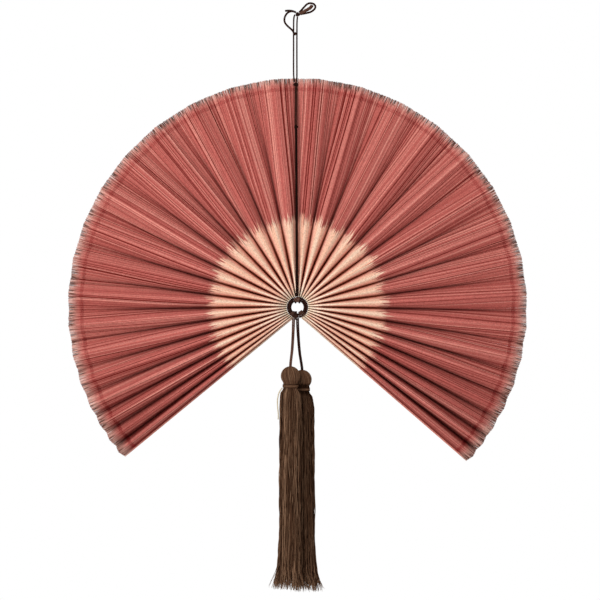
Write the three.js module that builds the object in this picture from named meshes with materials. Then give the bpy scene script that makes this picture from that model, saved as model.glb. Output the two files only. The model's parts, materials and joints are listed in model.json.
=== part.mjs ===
// Bamboo wall fan: a sheet of bamboo matting folded into pleats, gathered round a cord ring and
// hung on a wall from a knotted loop, with two tassels under the ring.
// Millimetres, +Z up. The front of the fan faces -Y. The origin is the nail that holds the loop.

import * as THREE from 'three';

// Driving dimensions of the pleated sheet
const FAN_RADIUS = 350;
const PLEATS_A_SIDE = 16;
const RIM_FOLD_DEPTH = 10.4;
const SHEET_THICKNESS = 0.7;
const PLEAT_CLEARANCE = 0.3;
const FOLD_LAND = 0.25;
const RIM_BULGE = 0.22;
const FULL_BULGE_TO = 0.45;
const HUB_SPREAD_ANGLE = 153;
const FAN_LEAN_ANGLE = -0.4;
const LEFT_SPREAD_ANGLE = 130.1;
const LEFT_FIRST_PITCH_ANGLE = 11.0;
const RIGHT_SPREAD_ANGLE = 132.3;
const RIGHT_FIRST_PITCH_ANGLE = 11.1;

// Driving dimensions of the ring at the hub
const HUB_OFFSET = 3.4;
const RING_RADIUS = 12.7;
const RING_FORWARD = 14;
const RING_CORD = 2.4;
const RING_TURNS = 5;
const TURN_CLEARANCE = 0.48;
const SEAT_CLEARANCE = 0.3;

// Driving dimensions of the hanging cord and its knots
const CORD = 2.2;
const LOOP_LENGTH = 93;
const RIM_KNOT_INSET = 9.3;
const RIM_KNOT_RADIUS = 3.4;
const TWIN_LENGTH = 64.9;
const TWIN_CLEARANCE = 0.4;
const MIDDLE_KNOT_RADIUS = 2.6;
const RING_KNOT_SIDE = -0.7;
const RING_KNOT_DROP = 0.6;
const RING_KNOT_HALF_WIDTH = 4.4;
const RING_KNOT_HALF_DEPTH = 2.7;
const RING_KNOT_HALF_HEIGHT = 4.2;
const TOP_KNOT = [3.7, -0.6, 4.6];
const TOP_KNOT_RADIUS = 3.3;
const END_KNOT = [-0.8, -4.2, -25.2];
const END_KNOT_RADIUS = 2.4;

// Driving dimensions of the tassels
const HITCH_SIDE = -3;
const HITCH_WIDTH = 5;
const HITCH_WALL = 2;
const HITCH_CLEARANCE = 1.15;
const HITCH_BEVEL = 0.6;
const WRAP_HEIGHT = 4.6;
const WRAP_DEPTH = 3;
const WRAP_BELOW_RING = 0.8;
const WRAP_CORNER = 1.2;
const TASSEL_CORD = 3.2;
const TASSEL_CORD_SPREAD = 6.2;
const TASSEL_CLEARANCE = 2.5;
const HEAD_RADIUS = 14.35;
const NECK_RADIUS = 10.8;
const NECK_HEIGHT = 4.8;
const SHOULDER_HEIGHT = 3.3;
const SHOULDER_ANGLE = 0.06;
const SKIRT_LENGTH = 305;
const SKIRT_HALF_WIDTH = 16;
const SKIRT_HALF_DEPTH = 13.4;
const SKIRT_END_HALF_WIDTH = 21.5;
const SKIRT_END_HALF_DEPTH = 11;
const SKIRT_LEAN = 4;
const SKIRT_FLARE_POWER = 8;
const LEFT_SKIRT_SHIFT = 0.8;
const RIGHT_SKIRT_SHIFT = 3.2;
const SKIRT_TOP_FULLNESS = 0.93;
const CORE_RADIUS = 9;
const CORE_CLEARANCE = 0.4;
const NECK_THREAD = 1.1;
const NECK_TURNS = 3;
const THREAD_CLEARANCE = 0.5;
const LEFT_HEAD_SIDE = -10.7;
const LEFT_HEAD_DROP = 104;
const RIGHT_HEAD_SIDE = 7;
const RIGHT_HEAD_DROP = 110;

const SIDES = [
  { name: 'left', sign: -1, spread: LEFT_SPREAD_ANGLE, firstPitch: LEFT_FIRST_PITCH_ANGLE },
  { name: 'right', sign: 1, spread: RIGHT_SPREAD_ANGLE, firstPitch: RIGHT_FIRST_PITCH_ANGLE },
];
const SKIRT_STATIONS = [1, 0.95, 0.88, 0.75, 0.35, 0.12, 0.03];
const FOLD_STATIONS = [0, 0.1, 0.25, 0.4, 0.55, 0.76, 1];
const WALL_STEPS = 3;
const CORD_SIDES = 8;
const STEP_DIAMETERS = 2.8;
const WINDING_SIDES = 6;
const WINDING_STEPS = 24;
const ROUND_STEPS = 20;

// Sizes that follow from the driving dimensions
const hubDrop = FAN_RADIUS + LOOP_LENGTH;
const ringBundle = (RING_CORD + TURN_CLEARANCE) / (2 * Math.sin(Math.PI / RING_TURNS));
const ringSection = ringBundle + RING_CORD / 2;
const pleatStart = RING_RADIUS + ringSection + SEAT_CLEARANCE;
const ringFront = -RING_FORWARD - ringSection;

const material = (colour, roughness) =>
  new THREE.MeshStandardMaterial({ color: colour, roughness, metalness: 0 });
const bambooMatting = material(0xb05a55, 0.75);
const darkCord = material(0x32201c, 0.85);
const tasselYarn = material(0x4b3a31, 0.95);
const bareWood = material(0xc7a574, 0.8);

const radians = THREE.MathUtils.degToRad;
const mix = THREE.MathUtils.lerp;

// Turns a geometry the right way out if its volume is negative.
function faceOutwards(geometry) {
  const plain = geometry.index ? geometry.toNonIndexed() : geometry;
  const place = plain.getAttribute('position');
  const [a, b, c] = [new THREE.Vector3(), new THREE.Vector3(), new THREE.Vector3()];
  let volume = 0;
  for (let i = 0; i < place.count; i += 3) {
    a.fromBufferAttribute(place, i);
    b.fromBufferAttribute(place, i + 1);
    c.fromBufferAttribute(place, i + 2);
    volume += a.dot(b.cross(c)) / 6;
  }
  if (volume < 0) {
    for (let i = 0; i < place.count; i += 3) {
      a.fromBufferAttribute(place, i);
      b.fromBufferAttribute(place, i + 1);
      place.setXYZ(i, b.x, b.y, b.z);
      place.setXYZ(i + 1, a.x, a.y, a.z);
    }
  }
  plain.computeVertexNormals();
  return plain;
}

function named(name, geometry, finish) {
  const mesh = new THREE.Mesh(geometry, finish);
  mesh.name = name;
  return mesh;
}

// The pleated sheet. A fold line is numbered by its pleat: 0 is the valley at the top of the fan,
// whole numbers are valleys and halves are ridges. Its inner end lies on the circle round the ring,
// evenly spaced, and its outer end on the rim, where pleats narrow towards the fan's lower corners.

function rimAngle(side, fold) {
  const share = (n) => (n * (n + 1) * (2 * n + 1)) / 6 / PLEATS_A_SIDE ** 2;
  const narrowing = (PLEATS_A_SIDE * side.firstPitch - side.spread) / share(PLEATS_A_SIDE);
  const at = (n) => n * side.firstPitch - narrowing * share(n);
  const whole = Math.min(Math.floor(fold), PLEATS_A_SIDE - 1);
  return FAN_LEAN_ANGLE + side.sign * mix(at(whole), at(whole + 1), fold - whole);
}

function hubAngle(side, fold) {
  return (side.sign * fold * HUB_SPREAD_ANGLE) / PLEATS_A_SIDE;
}

function onCircle(radius, degrees) {
  return new THREE.Vector2(radius * Math.sin(radians(degrees)), radius * Math.cos(radians(degrees)));
}

function foldPoint(side, fold, along) {
  const inner = onCircle(pleatStart, hubAngle(side, fold));
  const outer = onCircle(FAN_RADIUS, rimAngle(side, fold));
  return inner.lerp(outer, along);
}

function halfChord(side, pleat, along) {
  return foldPoint(side, pleat - 1, along).distanceTo(foldPoint(side, pleat, along)) / 2;
}

// The strips between folds are all as wide as the widest pleat, at the top of the fan, needs.
const stripWidth = Math.hypot(RIM_FOLD_DEPTH, Math.max(...SIDES.map((side) => halfChord(side, 1, 1))));

// Depth of the folds from ridge to valley. Each strip is as wide at the rim as at the hub.
function foldDepth(side, pleat, along) {
  const depthAt = (end) => Math.sqrt(stripWidth ** 2 - halfChord(side, pleat, end) ** 2);
  return mix(depthAt(0), depthAt(1), along);
}

// How far a wall is bent from straight towards a quarter of an ellipse. The strips have width to
// spare between their ends, which bulges, and near the rim it is drawn nearly straight.
function bulge(along) {
  return mix(1, RIM_BULGE, THREE.MathUtils.smoothstep(along, FULL_BULGE_TO, 1));
}

// Front of a pleat's first wall from ridge to valley, as (across, back) points. The ridge is
// blunt, and the wall stops short of the neighbour's.
function wallFront(side, pleat, along) {
  const ridge = halfChord(side, pleat, along) - FOLD_LAND;
  const depth = foldDepth(side, pleat, along);
  return Array.from({ length: WALL_STEPS + 1 }, (_, i) => {
    const share = i / WALL_STEPS;
    const across = mix(share, Math.sin((Math.PI / 2) * share), bulge(along));
    const back = mix(share, 1 - Math.cos((Math.PI / 2) * share), bulge(along));
    return new THREE.Vector2(mix(ridge, PLEAT_CLEARANCE / 2, across), (back - 0.5) * depth);
  });
}

// Back of the same wall, the sheet's thickness behind its front. Inside the ridge it stops at the
// middle of the pleat, where it meets the other wall.
function wallBack(front, middle) {
  const ahead = front.slice(1).map((point, i) => point.clone().sub(front[i]).normalize());
  const inward = ahead.map(({ x, y }) => new THREE.Vector2(y, -x));
  const back = front.slice(1).map((point, i) => {
    const [before, after] = [inward[i], inward[i + 1] ?? inward[i]];
    const mitre = before.clone().add(after).multiplyScalar(SHEET_THICKNESS / (1 + before.dot(after)));
    return point.clone().add(mitre);
  });
  const first = back.findIndex(({ x }) => x < middle - FOLD_LAND);
  const apart = (middle - back[first].x) / ahead[first].x;
  const apex = back[first].clone().addScaledVector(ahead[first], apart);
  const inside = back.slice(0, first + 1).map((_, i) => apex.clone().lerp(back[first], i / (first + 1)));
  return [...inside, ...back.slice(first)];
}

// Outline of one pleat across its length: the first wall and its mirror image.
function pleatSection(side, pleat, along) {
  const middle = halfChord(side, pleat, along);
  const front = wallFront(side, pleat, along);
  const wall = [...front, ...wallBack(front, middle).reverse()];
  const mirrored = wall.slice(0, -1).map(({ x, y }) => new THREE.Vector2(2 * middle - x, y)).reverse();
  return [...wall, ...mirrored];
}

// Where a ball rests in the valley at the top of the fan, at a distance from the hub.
function seatInValley(distance, radius) {
  const along = (distance - pleatStart) / (FAN_RADIUS - pleatStart);
  const [above, foot] = wallFront(SIDES[0], 1, along).slice(-2);
  const steepness = (foot.y - above.y) / (above.x - foot.x);
  const corner = foot.y + foot.x * steepness;
  const forward = (radius + SEAT_CLEARANCE) * Math.hypot(1, steepness);
  return [foldPoint(SIDES[0], 0, along).x, corner - forward, distance];
}

function pleatGeometry(side, pleat) {
  const sections = FOLD_STATIONS.map((along) => pleatSection(side, pleat, along));
  const rings = sections.map((section, station) => {
    const along = FOLD_STATIONS[station];
    const chord = 2 * halfChord(side, pleat, along);
    return section.map(({ x: across, y }) => {
      const place = foldPoint(side, pleat - 1 + across / chord, along);
      return new THREE.Vector3(place.x, y, place.y);
    });
  });
  return loft(rings, sections[0], sections.at(-1));
}

// A closed body through rings of matching points, capped with the flat outlines of its ends. The
// walls twist, so each four corners are split from the valley on one ring to the ridge on the next,
// on both faces of the sheet alike, which keeps its thickness.
function loft(rings, firstOutline, lastOutline) {
  const corners = [];
  const sides = rings[0].length;
  for (let ring = 0; ring + 1 < rings.length; ring += 1) {
    for (let i = 0; i < sides; i += 1) {
      const j = (i + 1) % sides;
      const [near, far] = [rings[ring], rings[ring + 1]];
      if (near[i].y > near[j].y) corners.push(near[i], far[i], far[j], near[i], far[j], near[j]);
      else corners.push(near[i], far[i], near[j], near[j], far[i], far[j]);
    }
  }
  corners.push(...capCorners(rings[0], firstOutline, false));
  corners.push(...capCorners(rings.at(-1), lastOutline, true));
  return faceOutwards(new THREE.BufferGeometry().setFromPoints(corners));
}

// The triangles of one cap, wound with the outline or against it.
function capCorners(ring, outline, against) {
  const outlineTurn = THREE.ShapeUtils.area(outline);
  return THREE.ShapeUtils.triangulateShape(outline, []).flatMap((triple) => {
    const [a, b, c] = triple.map((i) => outline[i]);
    const turn = (b.x - a.x) * (c.y - a.y) - (b.y - a.y) * (c.x - a.x);
    const isWith = turn * outlineTurn > 0;
    const order = isWith === against ? [...triple].reverse() : triple;
    return order.map((i) => ring[i]);
  });
}

// Cords and knots

// A round cord along a curve, with its ends cut square.
function cordGeometry(curve, diameter, sides = CORD_SIDES, steps = 0) {
  const section = new THREE.Shape();
  for (let i = 0; i < sides; i += 1) {
    const angle = (2 * Math.PI * i) / sides;
    const [x, y] = [(diameter / 2) * Math.cos(angle), (diameter / 2) * Math.sin(angle)];
    if (i === 0) section.moveTo(x, y);
    else section.lineTo(x, y);
  }
  section.closePath();
  const enough = Math.ceil(curve.getLength() / (STEP_DIAMETERS * diameter));
  const options = { steps: steps || enough, extrudePath: curve, bevelEnabled: false };
  return faceOutwards(new THREE.ExtrudeGeometry(section, options));
}

function throughPoints(points) {
  return new THREE.CatmullRomCurve3(points.map((p) => new THREE.Vector3(...p)));
}

function knotGeometry(width, depth, height) {
  const geometry = new THREE.IcosahedronGeometry(1, 2);
  geometry.scale(width, depth, height);
  return faceOutwards(geometry);
}

function knot(name, [x, y, z], radii) {
  const mesh = named(name, knotGeometry(...radii), darkCord);
  mesh.position.set(x, y, z);
  return mesh;
}

// The ring is one cord wound several times round a hollow bundle, a little further round the
// bundle at each turn, so that its turns lie side by side like the strands of a rope.
class BundleWinding extends THREE.Curve {
  constructor(radius, bundle, turns, gap) {
    super();
    Object.assign(this, { radius, bundle, turns, sweep: 2 * Math.PI * turns - gap / radius });
  }

  getPoint(share, target = new THREE.Vector3()) {
    const round = share * this.sweep;
    const bundleAngle = round / this.turns;
    const radius = this.radius + this.bundle * Math.cos(bundleAngle);
    return target.set(radius * Math.sin(round), this.bundle * Math.sin(bundleAngle), radius * Math.cos(round));
  }
}

class HelixWinding extends THREE.Curve {
  constructor(radius, pitch, turns) {
    super();
    Object.assign(this, { radius, pitch, turns });
  }

  getPoint(share, target = new THREE.Vector3()) {
    const round = 2 * Math.PI * this.turns * share;
    const rise = (share - 0.5) * this.pitch * this.turns;
    return target.set(this.radius * Math.cos(round), this.radius * Math.sin(round), rise);
  }
}

// Least distance between the surfaces of a winding's turns, measured on points along it.
function leastGap(curve, diameter, turns) {
  const perTurn = 2 * WINDING_STEPS;
  const points = curve.getSpacedPoints(perTurn * turns);
  let least = Infinity;
  points.forEach((point, i) => {
    for (let j = i + perTurn / 2; j < points.length; j += 1) {
      least = Math.min(least, point.distanceTo(points[j]) - diameter);
    }
  });
  return least;
}

function windingGeometry(label, curve, diameter, turns) {
  console.log(`${label}: least gap between its turns ${leastGap(curve, diameter, turns).toFixed(2)} mm`);
  return cordGeometry(curve, diameter, WINDING_SIDES, WINDING_STEPS * turns);
}

function hubRing() {
  const curve = new BundleWinding(RING_RADIUS, ringBundle, RING_TURNS, 2 * RING_CORD);
  const mesh = named('hub_ring', windingGeometry('hub ring', curve, RING_CORD, RING_TURNS), darkCord);
  mesh.position.y = -RING_FORWARD;
  return mesh;
}

const ringKnot = [
  RING_KNOT_SIDE,
  ringFront - SEAT_CLEARANCE - RING_KNOT_HALF_DEPTH,
  RING_RADIUS - RING_KNOT_DROP,
];
const rimKnot = seatInValley(FAN_RADIUS - RIM_KNOT_INSET, RIM_KNOT_RADIUS);

// The cord that carries the fan: from a knot on the ring, straight up the front of the centre
// valley to a knot at the rim, doubled over its last stretch.
function hangingCord() {
  const group = new THREE.Group();
  const start = [...ringKnot];
  start[2] += RING_KNOT_HALF_HEIGHT + SEAT_CLEARANCE;
  const atHeight = (z) => {
    const share = (z - start[2]) / (rimKnot[2] - start[2]);
    return start.map((value, i) => mix(value, rimKnot[i], share));
  };
  const middleKnot = atHeight(rimKnot[2] - TWIN_LENGTH);
  const singleEnd = middleKnot[2] - MIDDLE_KNOT_RADIUS - SEAT_CLEARANCE;
  const single = [0, 0.25, 0.5, 0.75, 1].map((share) => atHeight(mix(start[2], singleEnd, share)));
  group.add(
    knot('ring_knot', ringKnot, [RING_KNOT_HALF_WIDTH, RING_KNOT_HALF_DEPTH, RING_KNOT_HALF_HEIGHT]),
    named('hanging_cord', cordGeometry(throughPoints(single), CORD), darkCord),
    knot('middle_knot', middleKnot, [MIDDLE_KNOT_RADIUS, MIDDLE_KNOT_RADIUS, MIDDLE_KNOT_RADIUS]),
    knot('rim_knot', rimKnot, [RIM_KNOT_RADIUS, RIM_KNOT_RADIUS, RIM_KNOT_RADIUS]),
  );
  const low = middleKnot[2] + MIDDLE_KNOT_RADIUS + SEAT_CLEARANCE;
  const high = rimKnot[2] - RIM_KNOT_RADIUS - SEAT_CLEARANCE;
  for (const [name, sign] of [['twin_cord_left', -1], ['twin_cord_right', 1]]) {
    const points = [0, 0.3, 0.7, 1].map((share) => {
      const [x, y, z] = atHeight(mix(low, high, share));
      return [x + (sign * (CORD + TWIN_CLEARANCE)) / 2, y, z];
    });
    group.add(named(name, cordGeometry(throughPoints(points), CORD), darkCord));
  }
  return group;
}

// The loop over the nail, with the bow and loose ends of its knot. A leg's points are given from
// the rim knot for its lower half and from the nail for its upper half, the others from the knot.
const LOOP_LEGS = [
  {
    name: 'loop_leg_left',
    fromRim: [[-2.6, -0.1, 3.9], [-3.5, -0.3, 14], [-3.7, -0.6, 36]],
    fromNail: [[-2.6, 0, -44], [-2.6, 0, -22], [-2.5, -0.1, -7], [-2.2, -0.3, -1.5], [-1.4, -0.5, 2.4], [-0.2, -0.6, 4.3]],
  },
  {
    name: 'loop_leg_right',
    fromRim: [[1.1, -0.1, 4.1], [1.4, -0.3, 14], [1.4, -0.6, 36]],
    fromNail: [[2.4, 0, -44], [2.5, 0, -22], [2.6, -0.1, -8], [2.9, -0.3, -3], [3.3, -0.5, 0.9]],
  },
];
const KNOT_ENDS = [
  {
    name: 'bow_loop', points: [
      [2.4, -1, 3.1], [5.9, -1.6, 6.6], [9.7, -2.4, 10.8], [13.6, -3, 14.8], [17.3, -3.4, 16.6],
      [20.7, -3.6, 16.7], [24.9, -3.6, 15.2], [27, -3.4, 12], [26.3, -3.2, 8.8], [24.1, -2.8, 6.4],
      [19.4, -2.2, 3.4], [13.3, -1.6, 1.8], [7.5, -1, 0.8], [3.8, -0.6, 0.1],
    ],
  },
  {
    name: 'bow_end', points: [
      [3.2, -3.1, 0.8], [7.8, -4.3, 3], [12.7, -5.2, 5.6], [17.3, -5.6, 8.2], [20.5, -5.6, 10.8],
      [21.7, -5.4, 13.6],
    ],
  },
  {
    name: 'side_strand', points: [
      [-2.8, -2.6, 2.8], [-5.5, -3.6, 4], [-10.2, -4.2, 4.2], [-14.5, -4.4, 2.6], [-18.3, -4.4, -1.6],
      [-20.3, -4.4, -7.6], [-19.6, -4.2, -12.6], [-16.9, -4, -16.6], [-13.2, -3.8, -20.2],
      [-9.7, -3.7, -23.2], [-6.4, -3.6, -27.2],
    ],
  },
  {
    name: 'cord_tail', points: [[-3, 0, 3], [-8.2, -0.4, 5.2], [-13.7, -0.8, 5.8], [-19.3, -1.2, 5.2]],
  },
];

function hangingLoop() {
  const group = new THREE.Group();
  group.add(knot('top_knot', TOP_KNOT, [TOP_KNOT_RADIUS, TOP_KNOT_RADIUS, TOP_KNOT_RADIUS]));
  group.add(knot('end_knot', END_KNOT, [END_KNOT_RADIUS, END_KNOT_RADIUS, END_KNOT_RADIUS]));
  const rimFromNail = [HUB_OFFSET + rimKnot[0], rimKnot[1], rimKnot[2] - hubDrop];
  const from = (place, points) => points.map((point) => point.map((value, i) => value + place[i]));
  for (const { name, fromRim, fromNail } of LOOP_LEGS) {
    const points = [...from(rimFromNail, fromRim), ...fromNail];
    group.add(named(name, cordGeometry(throughPoints(points), CORD), darkCord));
  }
  for (const { name, points } of KNOT_ENDS) {
    group.add(named(name, cordGeometry(throughPoints(from(TOP_KNOT, points)), CORD), darkCord));
  }
  return group;
}

// The band of cord looped over the bottom of the ring, and the wrap on its front that holds the
// cords of both tassels.
function tasselHitch() {
  const inner = ringSection + HITCH_CLEARANCE;
  const outer = inner + HITCH_WALL;
  const side = HITCH_WIDTH / 2;
  const profile = [
    [inner, -side], [outer - HITCH_BEVEL, -side], [outer, HITCH_BEVEL - side],
    [outer, side - HITCH_BEVEL], [outer - HITCH_BEVEL, side], [inner, side], [inner, -side],
  ].map(([r, along]) => new THREE.Vector2(r, along));
  const band = named('tassel_hitch', faceOutwards(new THREE.LatheGeometry(profile, WINDING_STEPS)), darkCord);
  const around = Math.asin(HITCH_SIDE / RING_RADIUS);
  band.rotation.set(0, -around, -Math.PI / 2, 'YZX');
  band.position.set(HITCH_SIDE, -RING_FORWARD, -RING_RADIUS * Math.cos(around));
  return band;
}

const wrapPlace = {
  side: HITCH_SIDE,
  forward: -RING_FORWARD - ringSection - HITCH_CLEARANCE - HITCH_WALL - SEAT_CLEARANCE - WRAP_DEPTH / 2,
  height: -RING_RADIUS - WRAP_BELOW_RING,
};

function hitchWrap() {
  const halfWidth = (TASSEL_CORD_SPREAD + TASSEL_CORD - 1) / 2;
  const [halfHeight, corner] = [WRAP_HEIGHT / 2, WRAP_CORNER];
  const outline = new THREE.Shape();
  outline.moveTo(corner - halfWidth, -halfHeight);
  outline.lineTo(halfWidth - corner, -halfHeight);
  outline.lineTo(halfWidth, corner - halfHeight);
  outline.lineTo(halfWidth, halfHeight - corner);
  outline.lineTo(halfWidth - corner, halfHeight);
  outline.lineTo(corner - halfWidth, halfHeight);
  outline.lineTo(-halfWidth, halfHeight - corner);
  outline.lineTo(-halfWidth, corner - halfHeight);
  outline.closePath();
  const geometry = new THREE.ExtrudeGeometry(outline, { depth: WRAP_DEPTH, bevelEnabled: false });
  geometry.translate(0, 0, -WRAP_DEPTH / 2);
  geometry.rotateX(Math.PI / 2);
  const mesh = named('hitch_wrap', faceOutwards(geometry), darkCord);
  mesh.position.set(wrapPlace.side, wrapPlace.forward, wrapPlace.height);
  return mesh;
}

// Tassels

const neckDrop = Math.sqrt(HEAD_RADIUS ** 2 - NECK_RADIUS ** 2) + SHOULDER_HEIGHT + NECK_HEIGHT / 2;
const neckOuter = NECK_RADIUS + SEAT_CLEARANCE + NECK_THREAD;

// How far the left tassel hangs in front of the right one, so that heads, necks and skirts all
// clear each other. A pair of upright ellipses touch when their centres are this far apart.
function tasselDepthGap() {
  const apart = RIGHT_HEAD_SIDE - LEFT_HEAD_SIDE;
  const touching = (across, halfWidth, halfDepth) =>
    2 * halfDepth * Math.sqrt(Math.max(0, 1 - (across / (2 * halfWidth)) ** 2));
  return TASSEL_CLEARANCE + Math.max(
    touching(apart, HEAD_RADIUS, HEAD_RADIUS),
    touching(apart, neckOuter, neckOuter),
    touching(apart, SKIRT_HALF_WIDTH, SKIRT_HALF_DEPTH),
    touching(apart + 2 * SKIRT_LEAN, SKIRT_END_HALF_WIDTH, SKIRT_END_HALF_DEPTH),
  );
}

// The yarn is folded over the core and bound at the neck, so head and skirt are one bundle. The
// profile runs up the outside from the skirt's end to the cord hole, then round the core's space.
function yarnGeometry(outwards, shift) {
  const hole = TASSEL_CORD / 2 + SEAT_CLEARANCE;
  const space = CORE_RADIUS + CORE_CLEARANCE;
  const neckTop = -neckDrop + NECK_HEIGHT / 2;
  const neckBottom = -neckDrop - NECK_HEIGHT / 2;
  const skirtEnd = neckBottom - SKIRT_LENGTH;
  const arc = (radius, from, to, count) =>
    Array.from({ length: count + 1 }, (_, i) => {
      const angle = mix(from, to, i / count);
      return [radius * Math.sin(angle), radius * Math.cos(angle)];
    });
  const headFoot = Math.PI - Math.asin(NECK_RADIUS / HEAD_RADIUS) - SHOULDER_ANGLE;
  const skirt = SKIRT_STATIONS.map((share, i) => {
    const fullness = i + 1 === SKIRT_STATIONS.length ? SKIRT_TOP_FULLNESS : 1;
    return [SKIRT_HALF_WIDTH * fullness, mix(neckBottom, skirtEnd, share)];
  });
  const [headSteps, spaceSteps] = [9, 6];
  const profile = [
    [0, skirtEnd], ...skirt, [NECK_RADIUS, neckBottom], [NECK_RADIUS, neckTop],
    ...arc(HEAD_RADIUS, headFoot, Math.asin(hole / HEAD_RADIUS), headSteps),
    ...arc(space, Math.asin(hole / space), Math.PI, spaceSteps),
  ];
  profile[profile.length - 1][0] = 0;
  const points = profile.map(([r, z]) => new THREE.Vector2(r, z));
  const geometry = new THREE.LatheGeometry(points, ROUND_STEPS);
  geometry.rotateX(Math.PI / 2);
  const place = geometry.getAttribute('position');
  for (let i = 0; i < place.count; i += 1) {
    const z = place.getZ(i);
    if (z >= neckBottom - 0.01) continue;
    const share = (neckBottom - z) / SKIRT_LENGTH;
    const flare = share ** SKIRT_FLARE_POWER;
    const wide = mix(SKIRT_HALF_WIDTH, SKIRT_END_HALF_WIDTH, flare) / SKIRT_HALF_WIDTH;
    const deep = mix(SKIRT_HALF_DEPTH, SKIRT_END_HALF_DEPTH, share) / SKIRT_HALF_WIDTH;
    const aside = shift * THREE.MathUtils.smoothstep(share, 0, SKIRT_STATIONS.at(-2)) + SKIRT_LEAN * flare;
    place.setX(i, place.getX(i) * wide + outwards * aside);
    place.setY(i, place.getY(i) * deep);
  }
  return faceOutwards(geometry);
}

function coreGeometry() {
  const bore = TASSEL_CORD / 2 + SEAT_CLEARANCE;
  const edge = Math.asin(bore / CORE_RADIUS);
  const rings = 8;
  const profile = [];
  for (let i = 0; i <= rings; i += 1) {
    const angle = mix(edge, Math.PI - edge, i / rings);
    profile.push(new THREE.Vector2(CORE_RADIUS * Math.sin(angle), CORE_RADIUS * Math.cos(angle)));
  }
  profile.push(profile[0].clone());
  const geometry = new THREE.LatheGeometry(profile, ROUND_STEPS);
  geometry.rotateX(Math.PI / 2);
  return faceOutwards(geometry);
}

function tassel({ name, sign, headSide, headDrop, skirtShift, forward }) {
  const group = new THREE.Group();
  const head = [headSide, forward, -headDrop];
  const atHead = (mesh, rise = 0) => {
    mesh.position.set(head[0], head[1], head[2] + rise);
    return mesh;
  };
  const threadRadius = NECK_RADIUS + NECK_THREAD / 2 + SEAT_CLEARANCE;
  const pitch = NECK_THREAD + THREAD_CLEARANCE;
  const winding = new HelixWinding(threadRadius, pitch, NECK_TURNS);
  const label = `${name} neck binding`;
  const top = [
    wrapPlace.side + (sign * TASSEL_CORD_SPREAD) / 2,
    wrapPlace.forward,
    wrapPlace.height - WRAP_HEIGHT / 2 - SEAT_CLEARANCE,
  ];
  const inside = head[2] + HEAD_RADIUS;
  const route = [
    top,
    [top[0], top[1], top[2] - 6],
    [mix(top[0], head[0], 0.14), mix(top[1], head[1], 0.26), mix(top[2], inside, 0.33)],
    [mix(top[0], head[0], 0.46), mix(top[1], head[1], 0.74), mix(top[2], inside, 0.66)],
    [mix(top[0], head[0], 0.9), mix(top[1], head[1], 0.98), inside + 7],
    [head[0], head[1], inside + 1],
    [head[0], head[1], head[2] + CORE_RADIUS / 2],
    [head[0], head[1], head[2] - CORE_RADIUS / 2],
  ];
  group.add(
    named(`${name}_tassel_cord`, cordGeometry(throughPoints(route), TASSEL_CORD), darkCord),
    atHead(named(`${name}_tassel_core`, coreGeometry(), bareWood)),
    atHead(named(`${name}_tassel_yarn`, yarnGeometry(sign, skirtShift), tasselYarn)),
    atHead(named(`${name}_neck_binding`, windingGeometry(label, winding, NECK_THREAD, NECK_TURNS), darkCord), -neckDrop),
  );
  return group;
}

const tassels = [
  {
    name: 'left', sign: -1, headSide: LEFT_HEAD_SIDE, headDrop: LEFT_HEAD_DROP,
    skirtShift: LEFT_SKIRT_SHIFT, forward: -RING_FORWARD - tasselDepthGap() / 2,
  },
  {
    name: 'right', sign: 1, headSide: RIGHT_HEAD_SIDE, headDrop: RIGHT_HEAD_DROP,
    skirtShift: RIGHT_SKIRT_SHIFT, forward: -RING_FORWARD + tasselDepthGap() / 2,
  },
];

// The whole fan, hung from the nail

const fan = new THREE.Group();
fan.position.set(HUB_OFFSET, 0, -hubDrop);
for (const side of SIDES) {
  for (let pleat = 1; pleat <= PLEATS_A_SIDE; pleat += 1) {
    const number = String(pleat).padStart(2, '0');
    fan.add(named(`${side.name}_pleat_${number}`, pleatGeometry(side, pleat), bambooMatting));
  }
}
fan.add(hubRing(), hangingCord(), tasselHitch(), hitchWrap(), ...tassels.map(tassel));

const wallFan = new THREE.Group();
wallFan.add(fan, hangingLoop());

export default wallFan;
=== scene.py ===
"""A bamboo wall fan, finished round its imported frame.

The frame holds the fan's solids and how they move. This script makes what shows of it: the splints
and threads of the pleated matting, the twisted cords with their knots, the ring at the hub and the
two tassels. Sizes in the classes are millimetres, seen from the nail that holds the fan.
"""

from __future__ import annotations

import json
import logging
import math
from collections.abc import Callable, Sequence
from dataclasses import dataclass, field
from enum import Enum

import bpy
import numpy as np
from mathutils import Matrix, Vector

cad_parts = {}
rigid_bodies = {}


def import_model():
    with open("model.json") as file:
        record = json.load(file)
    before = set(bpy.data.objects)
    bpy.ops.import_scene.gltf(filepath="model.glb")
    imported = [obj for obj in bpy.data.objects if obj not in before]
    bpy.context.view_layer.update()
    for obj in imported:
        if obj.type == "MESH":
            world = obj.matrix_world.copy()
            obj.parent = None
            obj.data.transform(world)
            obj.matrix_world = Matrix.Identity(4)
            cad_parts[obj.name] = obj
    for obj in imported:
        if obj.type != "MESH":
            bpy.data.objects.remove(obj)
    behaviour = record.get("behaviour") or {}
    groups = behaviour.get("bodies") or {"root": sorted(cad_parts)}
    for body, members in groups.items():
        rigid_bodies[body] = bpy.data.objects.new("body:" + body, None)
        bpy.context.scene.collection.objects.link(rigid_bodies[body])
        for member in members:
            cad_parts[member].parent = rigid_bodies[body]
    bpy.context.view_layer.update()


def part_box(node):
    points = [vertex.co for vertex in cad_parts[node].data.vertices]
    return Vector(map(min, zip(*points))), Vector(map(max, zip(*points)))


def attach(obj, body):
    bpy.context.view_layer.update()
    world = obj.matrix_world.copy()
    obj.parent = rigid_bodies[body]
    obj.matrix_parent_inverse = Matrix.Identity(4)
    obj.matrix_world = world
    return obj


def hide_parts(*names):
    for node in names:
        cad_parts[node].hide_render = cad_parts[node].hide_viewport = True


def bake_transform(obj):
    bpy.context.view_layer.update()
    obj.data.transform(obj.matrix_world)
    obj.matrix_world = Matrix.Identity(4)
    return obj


MM = 0.001
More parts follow.
